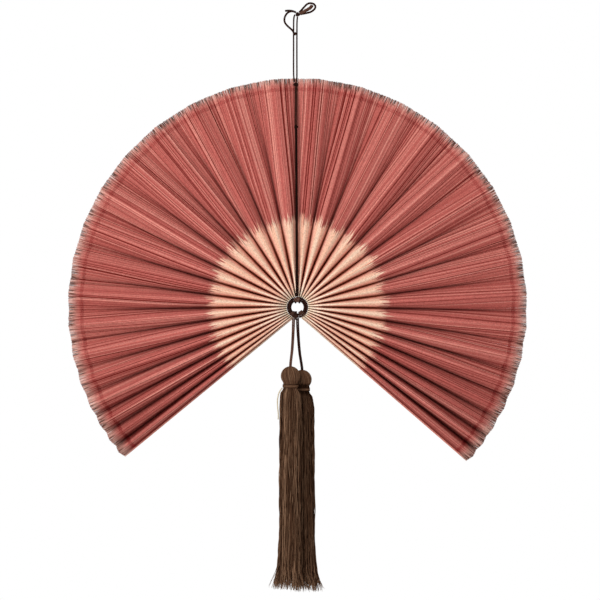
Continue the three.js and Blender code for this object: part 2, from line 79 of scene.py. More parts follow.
# The middle of the fan's circle.
HUB = np.array([3.4, 0.0, -443.0])
FRONT = np.array([0.0, -1.0, 0.0])
UP = np.array([0.0, 0.0, 1.0])
TURN = 2 * math.pi
# A trait that makes a point neither lighter nor darker than the plain colour.
PLAIN_TRAIT = 0.5
# How finely a smooth line is drawn between two given points, and the fewest points of a line.
CURVE_STEPS = 24
FEWEST_POINTS = 4
LOG = logging.getLogger("wall_fan")


class Side(Enum):
    """The half of the fan left or right of the valley at its top."""

    LEFT = -1
    RIGHT = 1

    @property
    def label(self) -> str:
        """The side's name, as the frame's nodes have it."""
        return self.name.lower()

    def pick(self, values: tuple) -> float:
        """This side's own of two values, of which the left side's comes first."""
        return values[self is Side.RIGHT]


class Half(Enum):
    """The half of a pleat nearer the top of the fan, or the one further round it."""

    INNER = "inner"
    OUTER = "outer"


def smooth_step(share: np.ndarray) -> np.ndarray:
    """Eases a share from 0 to 1, as three squares less two cubes of it."""
    held = np.clip(share, 0, 1)
    return held * held * (3 - 2 * held)


def unit(vectors: np.ndarray) -> np.ndarray:
    """Scales vectors, given along the last axis, to a length of 1."""
    return vectors / np.maximum(np.linalg.norm(vectors, axis=-1, keepdims=True), 1e-12)


def joined(*parts: object) -> np.ndarray:
    """Spreads arrays to one shape and sets them side by side along a new last axis."""
    return np.stack(np.broadcast_arrays(*parts), axis=-1)


def corner_angles(corners: int) -> np.ndarray:
    """The angles of a regular polygon's corners."""
    return TURN * np.arange(corners) / corners


def way_along(line: np.ndarray) -> np.ndarray:
    """How far each point of a line lies from its start, measured along it."""
    return np.concatenate([[0], np.cumsum(np.linalg.norm(np.diff(line, axis=0), axis=1))])


def strand_traits(tones: object) -> np.ndarray:
    """The traits of strands: their tones, and a plain value for the three that their finish leaves."""
    traits = np.full((*np.shape(tones), 4), PLAIN_TRAIT)
    traits[..., 0] = tones
    return traits


def carried(
    line: np.ndarray, first: np.ndarray, second: np.ndarray, wide: np.ndarray, high: np.ndarray
) -> np.ndarray:
    """Carries a section along lines.

    A corner lies at the line's point, plus wide times the first direction, plus high times the second.

    Args:
        line: points as (..., station, axis).
        first: a direction for each point, or one for all.
        second: the same, square to the first.
        wide: how far each corner lies along the first, as (..., station, corner) or (corner).
        high: the same along the second.

    Returns:
        The corners as (..., station, corner, axis).
    """
    return line[..., None, :] + wide[..., None] * first[..., None, :] + high[..., None] * second[..., None, :]


def linear(red: int, green: int, blue: int) -> tuple[float, float, float, float]:
    """Turns a colour as a screen shows it into the linear one that a shader takes.

    Args:
        red: from 0 to 255.
        green: from 0 to 255.
        blue: from 0 to 255.

    Returns:
        The colour with an alpha of 1.
    """
    shares = [value / 255 for value in (red, green, blue)]
    parts = [s / 12.92 if s <= 0.04045 else ((s + 0.055) / 1.055) ** 2.4 for s in shares]
    return (*parts, 1.0)


def node_middle(node: str) -> np.ndarray:
    """The middle of a node's box, in millimetres."""
    low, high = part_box(node)
    return (np.array(low) + np.array(high)) / 2 / MM


def node_half_size(node: str) -> np.ndarray:
    """Half of each side of a node's box, in millimetres."""
    low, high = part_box(node)
    return (np.array(high) - np.array(low)) / 2 / MM


@dataclass
class Patch:
    """Part of a mesh, with what its finish reads at each point.

    traits holds four numbers a point: tone, fade, settled and wear. The finish says what they mean.
    """

    points: np.ndarray
    quads: np.ndarray
    caps: np.ndarray
    uv: np.ndarray
    traits: np.ndarray
    finish: int = 0


def skin(
    rings: np.ndarray, uv: np.ndarray, traits: np.ndarray, closed: bool = False, finish: int = 0
) -> Patch:
    """Skins a batch of tubes that have equal counts of stations and corners.

    Each tube is a grid: one parameter runs along it, the other round it. The faces are turned
    outwards by the first ring's own turn against the way to the second ring.

    Args:
        rings: points as (tube, station, corner, axis).
        uv: pattern places as (tube, station, corner, 2), or a shape that spreads to it.
        traits: numbers for the finish as (tube, station, corner, 4), or a shape that spreads to it.
        closed: whether the last station runs on into the first.
        finish: which of the piece's materials the faces take.

    Returns:
        The patch, with a flat cap on each open end.
    """
    count, stations, corners, _ = rings.shape
    first, second = rings[0, 0], rings[0, 1]
    turn = np.cross(first, np.roll(first, -1, axis=0)).sum(axis=0)
    with_travel = turn @ (second.mean(axis=0) - first.mean(axis=0)) > 0
    index = np.arange(count * stations * corners).reshape(count, stations, corners)
    here, onward = index, np.roll(index, -1, axis=1)
    caps = np.empty((0, corners), int)
    if not closed:
        here, onward = index[:, :-1], index[:, 1:]
        caps = np.concatenate([index[:, 0, ::-1], index[:, -1]])
        caps = caps if with_travel else caps[:, ::-1]
    order = [here, np.roll(here, -1, axis=2), np.roll(onward, -1, axis=2), onward]
    spread = (count, stations, corners)
    return Patch(
        points=rings.reshape(-1, 3),
        quads=np.stack(order if with_travel else order[::-1], axis=-1).reshape(-1, 4),
        caps=caps,
        uv=np.broadcast_to(uv, (*spread, 2)).reshape(-1, 2),
        traits=np.broadcast_to(traits, (*spread, 4)).reshape(-1, 4),
        finish=finish,
    )


def make_piece(
    name: str, patches: list[Patch], finishes: list[bpy.types.Material]
) -> bpy.types.Object:
    """Puts patches into one mesh object at the origin.

    Args:
        name: the piece's name.
        patches: the parts of its mesh, in millimetres.
        finishes: its materials, which the patches name by number.

    Returns:
        The object, with a UV map and the attribute "traits".
    """
    starts = np.cumsum([0] + [len(patch.points) for patch in patches])
    points = np.concatenate([patch.points for patch in patches]) * MM
    faces, slots, smooth = [], [], []
    for patch, start in zip(patches, starts):
        for block, is_smooth in ((patch.quads, True), (patch.caps, False)):
            faces += (block + start).tolist()
            slots += [patch.finish] * len(block)
            smooth += [is_smooth] * len(block)
    mesh = bpy.data.meshes.new(name)
    mesh.from_pydata(points.tolist(), [], faces)
    mesh.polygons.foreach_set("material_index", slots)
    mesh.polygons.foreach_set("use_smooth", smooth)
    corners = np.empty(len(mesh.loops), np.int32)
    mesh.loops.foreach_get("vertex_index", corners)
    uv = np.concatenate([patch.uv for patch in patches])
    layer = mesh.uv_layers.new(name="UVMap")
    layer.data.foreach_set("uv", uv[corners].astype(np.float32).ravel())
    traits = np.concatenate([patch.traits for patch in patches])
    attribute = mesh.attributes.new("traits", "FLOAT_COLOR", "POINT")
    attribute.data.foreach_set("color", traits.astype(np.float32).ravel())
    for finish in finishes:
        mesh.materials.append(finish)
    mesh.update()
    piece = bpy.data.objects.new(name, mesh)
    bpy.context.scene.collection.objects.link(piece)
    LOG.info("made %s with %d faces", name, len(faces))
    return piece


def dressed_piece(
    name: str, patches: list[Patch], finish: bpy.types.Material, body: str, node: str = ""
) -> bpy.types.Object:
    """Makes a piece of one material that rides with one body.

    Args:
        name: the piece's name.
        patches: the parts of its mesh.
        finish: its material.
        body: the body that it moves with.
        node: the node that it stands for, where there is one.

    Returns:
        The piece.
    """
    piece = make_piece(name, patches, [finish])
    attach(piece, body)
    if node:
        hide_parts(node)
    return piece


class Tree:
    """A node tree, built up step by step. A source is a socket or a plain value."""

    def __init__(self, tree: bpy.types.NodeTree) -> None:
        """Takes the tree that the nodes go into."""
        self.tree = tree

    def add(self, kind: str, sources: dict | None = None, **settings: object) -> bpy.types.Node:
        """Adds a node.

        Args:
            kind: the node's type.
            sources: what its inputs take, by their names or numbers.
            settings: its properties.

        Returns:
            The node.
        """
        node = self.tree.nodes.new(kind)
        for key, value in settings.items():
            setattr(node, key, value)
        for key, source in (sources or {}).items():
            self.wire(source, node.inputs[key])
        return node

    def wire(self, source: object, target: bpy.types.NodeSocket) -> None:
        """Links a socket to an input, or sets a plain value on it.

        Args:
            source: the socket or the value.
            target: the input.
        """
        if isinstance(source, bpy.types.NodeSocket):
            self.tree.links.new(source, target)
        else:
            target.default_value = source

    def maths(
        self, operation: str, first: object, second: object = 0.0, third: object = 0.0
    ) -> bpy.types.NodeSocket:
        """Adds a Math node and returns its value."""
        sources = dict(enumerate((first, second, third)))
        return self.add("ShaderNodeMath", sources, operation=operation).outputs[0]

    def span(
        self, value: object, low: float, high: float, start: float = 0.0, end: float = 1.0
    ) -> bpy.types.NodeSocket:
        """Eases a value from start at low to end at high."""
        sources = dict(enumerate((value, low, high, start, end)))
        return self.add("ShaderNodeMapRange", sources, interpolation_type="SMOOTHSTEP").outputs[0]

    def blend(
        self, share: object, first: object, second: object, kind: str = "MIX"
    ) -> bpy.types.NodeSocket:
        """Mixes two colours by a share, by the numbers of the Mix node's colour sockets."""
        sources = {0: share, 6: first, 7: second}
        return self.add("ShaderNodeMix", sources, data_type="RGBA", blend_type=kind).outputs[2]


class Nodes(Tree):
    """A material's node tree, with what the fan's finishes share."""

    def __init__(self, name: str) -> None:
        """Starts a material with its Principled shader, and with the UV map and traits to read.

        Args:
            name: the material's name.
        """
        self.material = bpy.data.materials.new(name)
        self.material.use_nodes = True
        super().__init__(self.material.node_tree)
        self.shader = self.tree.nodes["Principled BSDF"]
        uv = self.add("ShaderNodeUVMap", uv_map="UVMap")
        places = self.add("ShaderNodeSeparateXYZ", {0: uv.outputs["UV"]})
        self.across, self.along = places.outputs["X"], places.outputs["Y"]
        traits = self.add("ShaderNodeAttribute", attribute_name="traits")
        parts = self.add("ShaderNodeSeparateColor", {0: traits.outputs["Color"]})
        # The third trait is the painted shade that a point takes deep in a closed fold.
        self.tone, self.fade, self.settled = parts.outputs[:3]
        self.wear = traits.outputs["Alpha"]

    def swayed(self, base: object, noise: object, width: float) -> bpy.types.NodeSocket:
        """Adds to a base value a noise that moves it by half a width to each side."""
        return self.maths("ADD", base, self.maths("MULTIPLY_ADD", noise, width, -width / 2))

    def shaded(self, tone: object, colours: tuple, lightest: float = 1.0) -> bpy.types.NodeSocket:
        """Colours by tone.

        Args:
            tone: the tone.
            colours: the dark one at a tone of 0, the plain one at a half and the light one.
            lightest: the tone of the light one.

        Returns:
            The colour.
        """
        dark, plain, light = colours
        lower = self.blend(self.span(tone, 0.0, PLAIN_TRAIT), dark, plain)
        return self.blend(self.span(tone, PLAIN_TRAIT, lightest), lower, light)

    def noise(
        self, across: float, along: float, detail: float = 3.0, seed: float = 0.0
    ) -> bpy.types.NodeSocket:
        """Noise on the UV map, with its own scale across and along the strand.

        Args:
            across: waves for each unit of U.
            along: waves for each unit of V.
            detail: how many finer octaves it has.
            seed: where in the noise it lies.

        Returns:
            The noise's value, about 0.5 on average.
        """
        u, v = self.maths("MULTIPLY", self.across, across), self.maths("MULTIPLY", self.along, along)
        place = self.add("ShaderNodeCombineXYZ", {0: u, 1: v, 2: seed})
        sources = {"Vector": place.outputs[0], "Scale": 1.0, "Detail": detail}
        return self.add("ShaderNodeTexNoise", sources).outputs["Fac"]

    def finished(
        self, colour: object, height: object, roughness: float, relief: float, strength: float,
        specular: float = 0.0,
    ) -> bpy.types.Material:
        """Wires the finish to the shader.

        Args:
            colour: the base colour.
            height: what raises the surface.
            roughness: the shader's roughness.
            relief: how high the surface goes, in metres.
            strength: how much of that shows.
            specular: the shader's specular level.

        Returns:
            The material.
        """
        self.wire(colour, self.shader.inputs["Base Color"])
        self.shader.inputs["Roughness"].default_value = roughness
        self.shader.inputs["Specular IOR Level"].default_value = specular
        sources = {"Strength": strength, "Distance": relief, "Height": height}
        bump = self.add("ShaderNodeBump", sources)
        self.wire(bump.outputs["Normal"], self.shader.inputs["Normal"])
        return self.material


@dataclass(frozen=True)
class MattingFinish:
    """Dyed split bamboo, left natural towards the hub and bare at the cut ends.

    U counts splints and V is the distance from the hub in metres. tone says how light a splint is,
    fade how much further out its dye starts, settled how much painted shade a point takes
    deep in a closed fold, and wear how near it is to the splint's weathered tip. A span of
    three numbers says where a colour starts, where it is full, and how much of it there is then.
    """

    dyed: tuple = field(default_factory=lambda: linear(184, 97, 89))
    dyed_dark: tuple = field(default_factory=lambda: linear(104, 28, 24))
    dyed_light: tuple = field(default_factory=lambda: linear(220, 146, 132))
    natural: tuple = field(default_factory=lambda: linear(235, 201, 176))
    # by_hub is painted light: the lighter undyed colour that the splints take towards the hub, against the
    # shade of its deep folds.
    by_hub: tuple = field(default_factory=lambda: linear(255, 236, 214))
    natural_dark: tuple = field(default_factory=lambda: linear(236, 176, 148))
    # Painted shade in the folds: the undyed splints take these three colours the deeper they lie in a closed
    # fold.
    flank: tuple = field(default_factory=lambda: linear(240, 178, 158))
    crept: tuple = field(default_factory=lambda: linear(172, 74, 42))
    deep: tuple = field(default_factory=lambda: linear(104, 36, 16))
    cut_end: tuple = field(default_factory=lambda: linear(255, 230, 202))
    bare_end: tuple = field(default_factory=lambda: linear(218, 174, 160))
    weathered_end: tuple = field(default_factory=lambda: linear(108, 72, 63))
    # Where each painted fold shade starts and is full, and how much of it there is; the last is for the dyed
    # splints.
    flank_span: tuple = (0.07, 0.22, 0.85)
    crept_span: tuple = (0.19, 0.33, 0.9)
    deep_span: tuple = (0.32, 0.5, 0.95)
    dyed_deep_span: tuple = (0.08, 0.42, 0.85)
    natural_tones: tuple = (0.1, 0.7)
    weathered_wear: tuple = (0.18, 0.6)
    dye_start: float = 0.133
    dye_width: float = 0.006
    dye_ragged: float = 0.02
    fade_reach: float = 0.022
    fringe_start: float = 0.3333
    fringe_end: float = 0.349
    fringe_edge: float = 0.0015
    fringe_bared: tuple = (0.05, 1.0)
    bared_tones: tuple = (0.1, 0.8, 0.35, 1.0)
    cut_end_to: float = 0.0204
    cut_end_edge: float = 0.001
    # Where the painted light by the hub starts, and where it is full.
    by_hub_from: float = 0.085
    by_hub_to: float = 0.03
    fibre_waves: tuple = (9.0, 38.0, 4.0)
    fibre_sway: float = 0.7
    fleck_waves: tuple = (3.1, 380.0, 3.0, 4.2)
    fleck_shades: tuple = (0.34, 0.6, 0.66, 1.07)
    roughness: float = 0.9
    relief: float = 0.00012
    relief_strength: float = 0.5

    def pale_colour(self, nodes: Nodes, tone: object) -> bpy.types.NodeSocket:
        """The undyed part: painted light by the hub, and painted shade that grows the deeper a point lies in
        its fold.

        Args:
            nodes: the material's nodes.
            tone: how light the splint is.

        Returns:
            The colour.
        """
        # Painted light: the undyed splints turn lighter towards the hub.
        by_hub = nodes.span(nodes.along, self.by_hub_from, self.by_hub_to)
        light = nodes.blend(by_hub, self.natural, self.by_hub)
        pale = nodes.blend(nodes.span(tone, *self.natural_tones), self.natural_dark, light)
        # Painted shade: darker colours the deeper a point lies in a closed fold.
        for (low, high, most), colour in (
            (self.flank_span, self.flank), (self.crept_span, self.crept), (self.deep_span, self.deep),
        ):
            pale = nodes.blend(nodes.span(nodes.settled, low, high, 0.0, most), pale, colour)
        cut = nodes.span(nodes.along, self.cut_end_to, self.cut_end_to - self.cut_end_edge)
        return nodes.blend(cut, pale, self.cut_end)

    def end_colour(self, nodes: Nodes, tone: object, red: object) -> bpy.types.NodeSocket:
        """The fringe: the dye gone from the lighter splints' ends, and some tips weathered.

        Args:
            nodes: the material's nodes.
            tone: how light the splint is.
            red: its dyed colour.

        Returns:
            The colour.
        """
        by_place = nodes.span(nodes.along, self.fringe_start, self.fringe_end, *self.fringe_bared)
        bared = nodes.maths("MULTIPLY", nodes.span(tone, *self.bared_tones), by_place)
        ends = nodes.blend(bared, red, self.bare_end)
        return nodes.blend(nodes.span(nodes.wear, *self.weathered_wear), ends, self.weathered_end)

    def material(self) -> bpy.types.Material:
        """Makes the material of the splints.

        Returns:
            The material: pale near the hub, red from where its dye starts, and bare in the fringe.
        """
        nodes = Nodes("bamboo_matting")
        fibre, flecks = nodes.noise(*self.fibre_waves), nodes.noise(*self.fleck_waves)
        tone = nodes.swayed(nodes.tone, fibre, self.fibre_sway)
        start = nodes.swayed(self.dye_start, nodes.fade, self.fade_reach)
        start = nodes.swayed(start, fibre, self.dye_ragged)
        past = nodes.maths("DIVIDE", nodes.maths("SUBTRACT", nodes.along, start), self.dye_width)
        red = nodes.shaded(tone, (self.dyed_dark, self.dyed, self.dyed_light))
        # Painted shade on the dyed splints, darker the deeper they lie in a closed fold.
        low, high, most = self.dyed_deep_span
        red = nodes.blend(nodes.span(nodes.settled, low, high, 0.0, most), red, self.dyed_dark)
        body = nodes.blend(nodes.span(past, -0.5, 0.5), self.pale_colour(nodes, tone), red)
        fringe = nodes.span(nodes.along, self.fringe_start, self.fringe_start + self.fringe_edge)
        colour = nodes.blend(fringe, body, self.end_colour(nodes, tone, red))
        dirt = nodes.span(flecks, *self.fleck_shades)
        shade = nodes.add("ShaderNodeCombineColor", {0: dirt, 1: dirt, 2: dirt}).outputs[0]
        colour = nodes.blend(1.0, colour, shade, "MULTIPLY")
        height = nodes.maths("ADD", fibre, flecks)
        return nodes.finished(colour, height, self.roughness, self.relief, self.relief_strength)


@dataclass(frozen=True)
class StrandFinish:
    """Spun fibre: cord, sewing thread or yarn. U runs round the strand and V along it in metres.

    tone says how light a strand is. The other traits aren't read.
    """

    name: str
    dark: tuple
    plain: tuple
    light: tuple
    roughness: float = 0.9
    lightest: float = 1.1
    fibre_waves: tuple = (6.0, 900.0, 3.0)
    fibre_sway: float = 0.6
    patch_waves: tuple = (1.0, 55.0, 2.0, 7.7)
    patch_sway: float = 0.5
    relief: float = 0.00015
    relief_strength: float = 0.6

    def material(self) -> bpy.types.Material:
        """Makes the material of the strand.

        Returns:
            The material, with fine fibres and broad lighter and darker stretches.
        """
        nodes = Nodes(self.name)
        fibre = nodes.noise(*self.fibre_waves)
        tone = nodes.swayed(nodes.tone, fibre, self.fibre_sway)
        tone = nodes.swayed(tone, nodes.noise(*self.patch_waves), self.patch_sway)
        colour = nodes.shaded(tone, (self.dark, self.plain, self.light), self.lightest)
        return nodes.finished(colour, fibre, self.roughness, self.relief, self.relief_strength)


@dataclass(frozen=True)
class WoodFinish:
    """Bare turned wood, with its grain on object coordinates."""

    early: tuple = field(default_factory=lambda: linear(214, 178, 128))
    late: tuple = field(default_factory=lambda: linear(160, 116, 70))
    ring_waves: float = 260.0
    unevenness: float = 4.0
    roughness: float = 0.7
    specular: float = 0.25
    relief: float = 0.0001
    relief_strength: float = 0.3

    def material(self) -> bpy.types.Material:
        """Makes the material of the tassel cores.

        Returns:
            The material, with rings round the core's axis.
        """
        nodes = Nodes("bare_wood")
        place = nodes.add("ShaderNodeTexCoord").outputs["Object"]
        sources = {"Vector": place, "Scale": self.ring_waves, "Distortion": self.unevenness}
        wave = nodes.add("ShaderNodeTexWave", sources, wave_type="RINGS", rings_direction="Z")
        rings = wave.outputs["Fac"]
        colour = nodes.blend(rings, self.early, self.late)
        return nodes.finished(
            colour, rings, self.roughness, self.relief, self.relief_strength, self.specular
        )


@dataclass
class Palette:
    """The materials of the whole fan."""

    matting: bpy.types.Material
    thread: bpy.types.Material
    selvedge: bpy.types.Material
    cord: bpy.types.Material
    yarn: bpy.types.Material
    pale_thread: bpy.types.Material
    wood: bpy.types.Material

    @classmethod
    def mixed(cls) -> Palette:
        """Makes every material once.

        Returns:
            The palette.
        """
        strands = {
            "thread": ("warp_thread", linear(120, 48, 44), linear(170, 80, 74), linear(210, 130, 118)),
            "selvedge": ("selvedge_thread", linear(98, 16, 19), linear(140, 32, 35), linear(172, 62, 60)),
            "cord": ("dark_cord", linear(18, 9, 7), linear(46, 27, 22), linear(104, 74, 62)),
            "yarn": ("tassel_yarn", linear(30, 16, 9), linear(84, 58, 42), linear(142, 110, 86)),
            "pale_thread": (
                "pale_thread", linear(132, 116, 92), linear(192, 178, 152), linear(228, 220, 202)
            ),
        }
        finishes = {use: StrandFinish(*looks).material() for use, looks in strands.items()}
        return cls(matting=MattingFinish().material(), wood=WoodFinish().material(), **finishes)


@dataclass(frozen=True)
class FoldPlan:
    """Where every fold of the matting lies.

    A fold is numbered by its pleat: 0 is the valley at the top of the fan, whole numbers are valleys
    and halves are ridges. Its inner end lies on the circle round the ring, and its outer end on the
    rim, where pleats narrow towards the fan's lower corners.
    """

    radius: float = 350.0
    pleats: int = 16
    rim_depth: float = 10.4
    start: float = 16.65
    hub_spread: float = 153.0
    lean: float = -0.4
    spread: tuple = (130.1, 132.3)
    first_pitch: tuple = (11.0, 11.1)

    @property
    def reach(self) -> float:
        """How far it is from the folds' inner ends to the rim."""
        return self.radius - self.start

    def rim_angle(self, side: Side, fold: float) -> float:
        """The fold's angle at the rim, in degrees clockwise from straight up.

        After n pleats it is n times the first pitch, less a narrowing that grows as the sum of the
        squares up to n. A fold between two whole numbers lies evenly between theirs.

        Args:
            side: the side of the fan.
            fold: the fold's number.

        Returns:
            The angle.
        """
        first = side.pick(self.first_pitch)

        def squares(n: int) -> float:
            """The sum of the squares up to n, by the square of the pleats' count."""
            return n * (n + 1) * (2 * n + 1) / 6 / self.pleats**2

        narrowing = (self.pleats * first - side.pick(self.spread)) / squares(self.pleats)
        whole = min(math.floor(fold), self.pleats - 1)
        here, onward = (n * first - narrowing * squares(n) for n in (whole, whole + 1))
        return self.lean + side.value * (here + (onward - here) * (fold - whole))

    def fold_ends(self, side: Side, fold: float) -> tuple[np.ndarray, np.ndarray]:
        """The fold's two ends in the fan's plane, from the hub, on two circles round it.

        Args:
            side: the side of the fan.
            fold: the fold's number.

        Returns:
            The inner end and the outer one.
        """
        inner = math.radians(side.value * fold * self.hub_spread / self.pleats)
        outer = math.radians(self.rim_angle(side, fold))
        return (
            self.start * np.array([math.sin(inner), 0.0, math.cos(inner)]),
            self.radius * np.array([math.sin(outer), 0.0, math.cos(outer)]),
        )

    def half_chords(self, side: Side, pleat: int) -> np.ndarray:
        """Half of a pleat's width at its inner end and at the rim."""
        before, after = self.fold_ends(side, pleat - 1), self.fold_ends(side, pleat)
        return np.array([np.linalg.norm(b - a) / 2 for a, b in zip(before, after)])

    def strip_width(self) -> float:
        """How wide each strip between folds is, which the widest pleat at the rim sets."""
        return math.hypot(self.rim_depth, max(self.half_chords(side, 1)[1] for side in Side))

    def depths(self, side: Side, pleat: int) -> np.ndarray:
        """How deep a pleat is from ridge to valley, at its inner end and at the rim."""
        return np.sqrt(self.strip_width() ** 2 - self.half_chords(side, pleat) ** 2)

    def ridge(self, side: Side, pleat: int) -> np.ndarray:
        """Both ends of a pleat's ridge, as (end, axis)."""
        ends = np.array(self.fold_ends(side, pleat - 0.5))
        ends[:, 1] -= self.depths(side, pleat) / 2
        return HUB + ends

    def valley(self, side: Side, number: int) -> np.ndarray:
        """Both ends of a valley, half as deep as the pleats on its two sides on average.

        Args:
            side: the side of the fan.
            number: the valley's number, from 0 at the top.

        Returns:
            The ends, as (end, axis).
        """
        beside = [(side, number), (side, number + 1)]
        if number == 0:
            beside = [(other, 1) for other in Side]
        if number == self.pleats:
            beside = [(side, number)]
        ends = np.array(self.fold_ends(side, number))
        ends[:, 1] += np.mean([self.depths(*pleat) for pleat in beside], axis=0) / 2
        return HUB + ends


@dataclass(frozen=True)
class Strip:
    """The sheet between two folds, each of them given by both its ends.

    It bulges, because it is as wide half way out as at the rim. Across it the place v runs from a
    straight line to a quarter of an ellipse, by the bulge b: the share of the width is
    (1 - b) v + b sin(90 v) and that of the depth is (1 - b) v + b (1 - cos(90 v)), in degrees.
    A place goes from 0 at the ridge to 1 at the valley, and along from 0 at the hub to 1 at the rim.
    """

    ridge: np.ndarray
    valley: np.ndarray
    bulge_end: float = 0.22
    bulge_from: float = 0.45
    width_steps: int = 64

    def surface(self, place: np.ndarray, along: np.ndarray) -> np.ndarray:
        """Points on the middle of the sheet: from the ridge, by the shares of the step to the valley.

        Args:
            place: how far across.
            along: how far out.

        Returns:
            The points, with a last axis for x, y and z.
        """
        flatter = smooth_step((along - self.bulge_from) / (1 - self.bulge_from))
        bulge = 1 - (1 - self.bulge_end) * flatter
        quarter = place * math.pi / 2
        width = (1 - bulge) * place + bulge * np.sin(quarter)
        depth = (1 - bulge) * place + bulge * (1 - np.cos(quarter))
        out = along[..., None]
        top = self.ridge[0] + out * (self.ridge[1] - self.ridge[0])
        step = self.valley[0] + out * (self.valley[1] - self.valley[0]) - top
        return top + np.stack([width, depth, width], axis=-1) * step

    def frame_at(self, place: np.ndarray, along: np.ndarray) -> tuple[np.ndarray, ...]:
        """Points on the sheet with their directions, from the steps between near points.

        Args:
            place: how far across.
            along: how far out.

        Returns:
            The points, and the directions across, out and to the front.
        """
        near = 1e-3
        across = unit(self.surface(place + near, along) - self.surface(place - near, along))
        out = unit(self.surface(place, along + near) - self.surface(place, along - near))
        normal = unit(np.cross(across, out))
        facing = np.sign((normal[place < 0.5] @ FRONT).sum())
        return self.surface(place, along), across, out, normal * facing

    def places_of(self, shares: np.ndarray, along: np.ndarray) -> tuple[np.ndarray, np.ndarray]:
        """Turns even shares of the sheet's own width into places across it.

        Args:
            shares: of the sheet's width, one row for each strand.
            along: how far out each column is.

        Returns:
            The places, as (strand, column), and the sheet's width at each column.
        """
        steps = np.linspace(0, 1, self.width_steps + 1)
        line = self.surface(*np.meshgrid(steps, along, indexing="ij"))
        length = np.linalg.norm(np.diff(line, axis=0), axis=-1).cumsum(axis=0)
        length = np.concatenate([np.zeros((1, len(along))), length])
        columns = [
            np.interp(shares[:, i] * length[-1, i], length[:, i], steps) for i in range(len(along))
        ]
        return np.stack(columns, axis=1), length[-1]

    def chord(self, along: np.ndarray) -> np.ndarray:
        """The sheet's width as it shows from the front."""
        ends = np.linalg.norm((self.valley - self.ridge)[:, [0, 2]], axis=-1)
        return ends[0] + along * (ends[1] - ends[0])

    def apart(self) -> np.ndarray:
        """The way from the ridge to the valley that is square to both."""
        square = unit(np.cross(self.ridge[1] - self.ridge[0], self.valley[1] - self.valley[0]))
        return square * (square @ (self.valley[0] - self.ridge[0]))


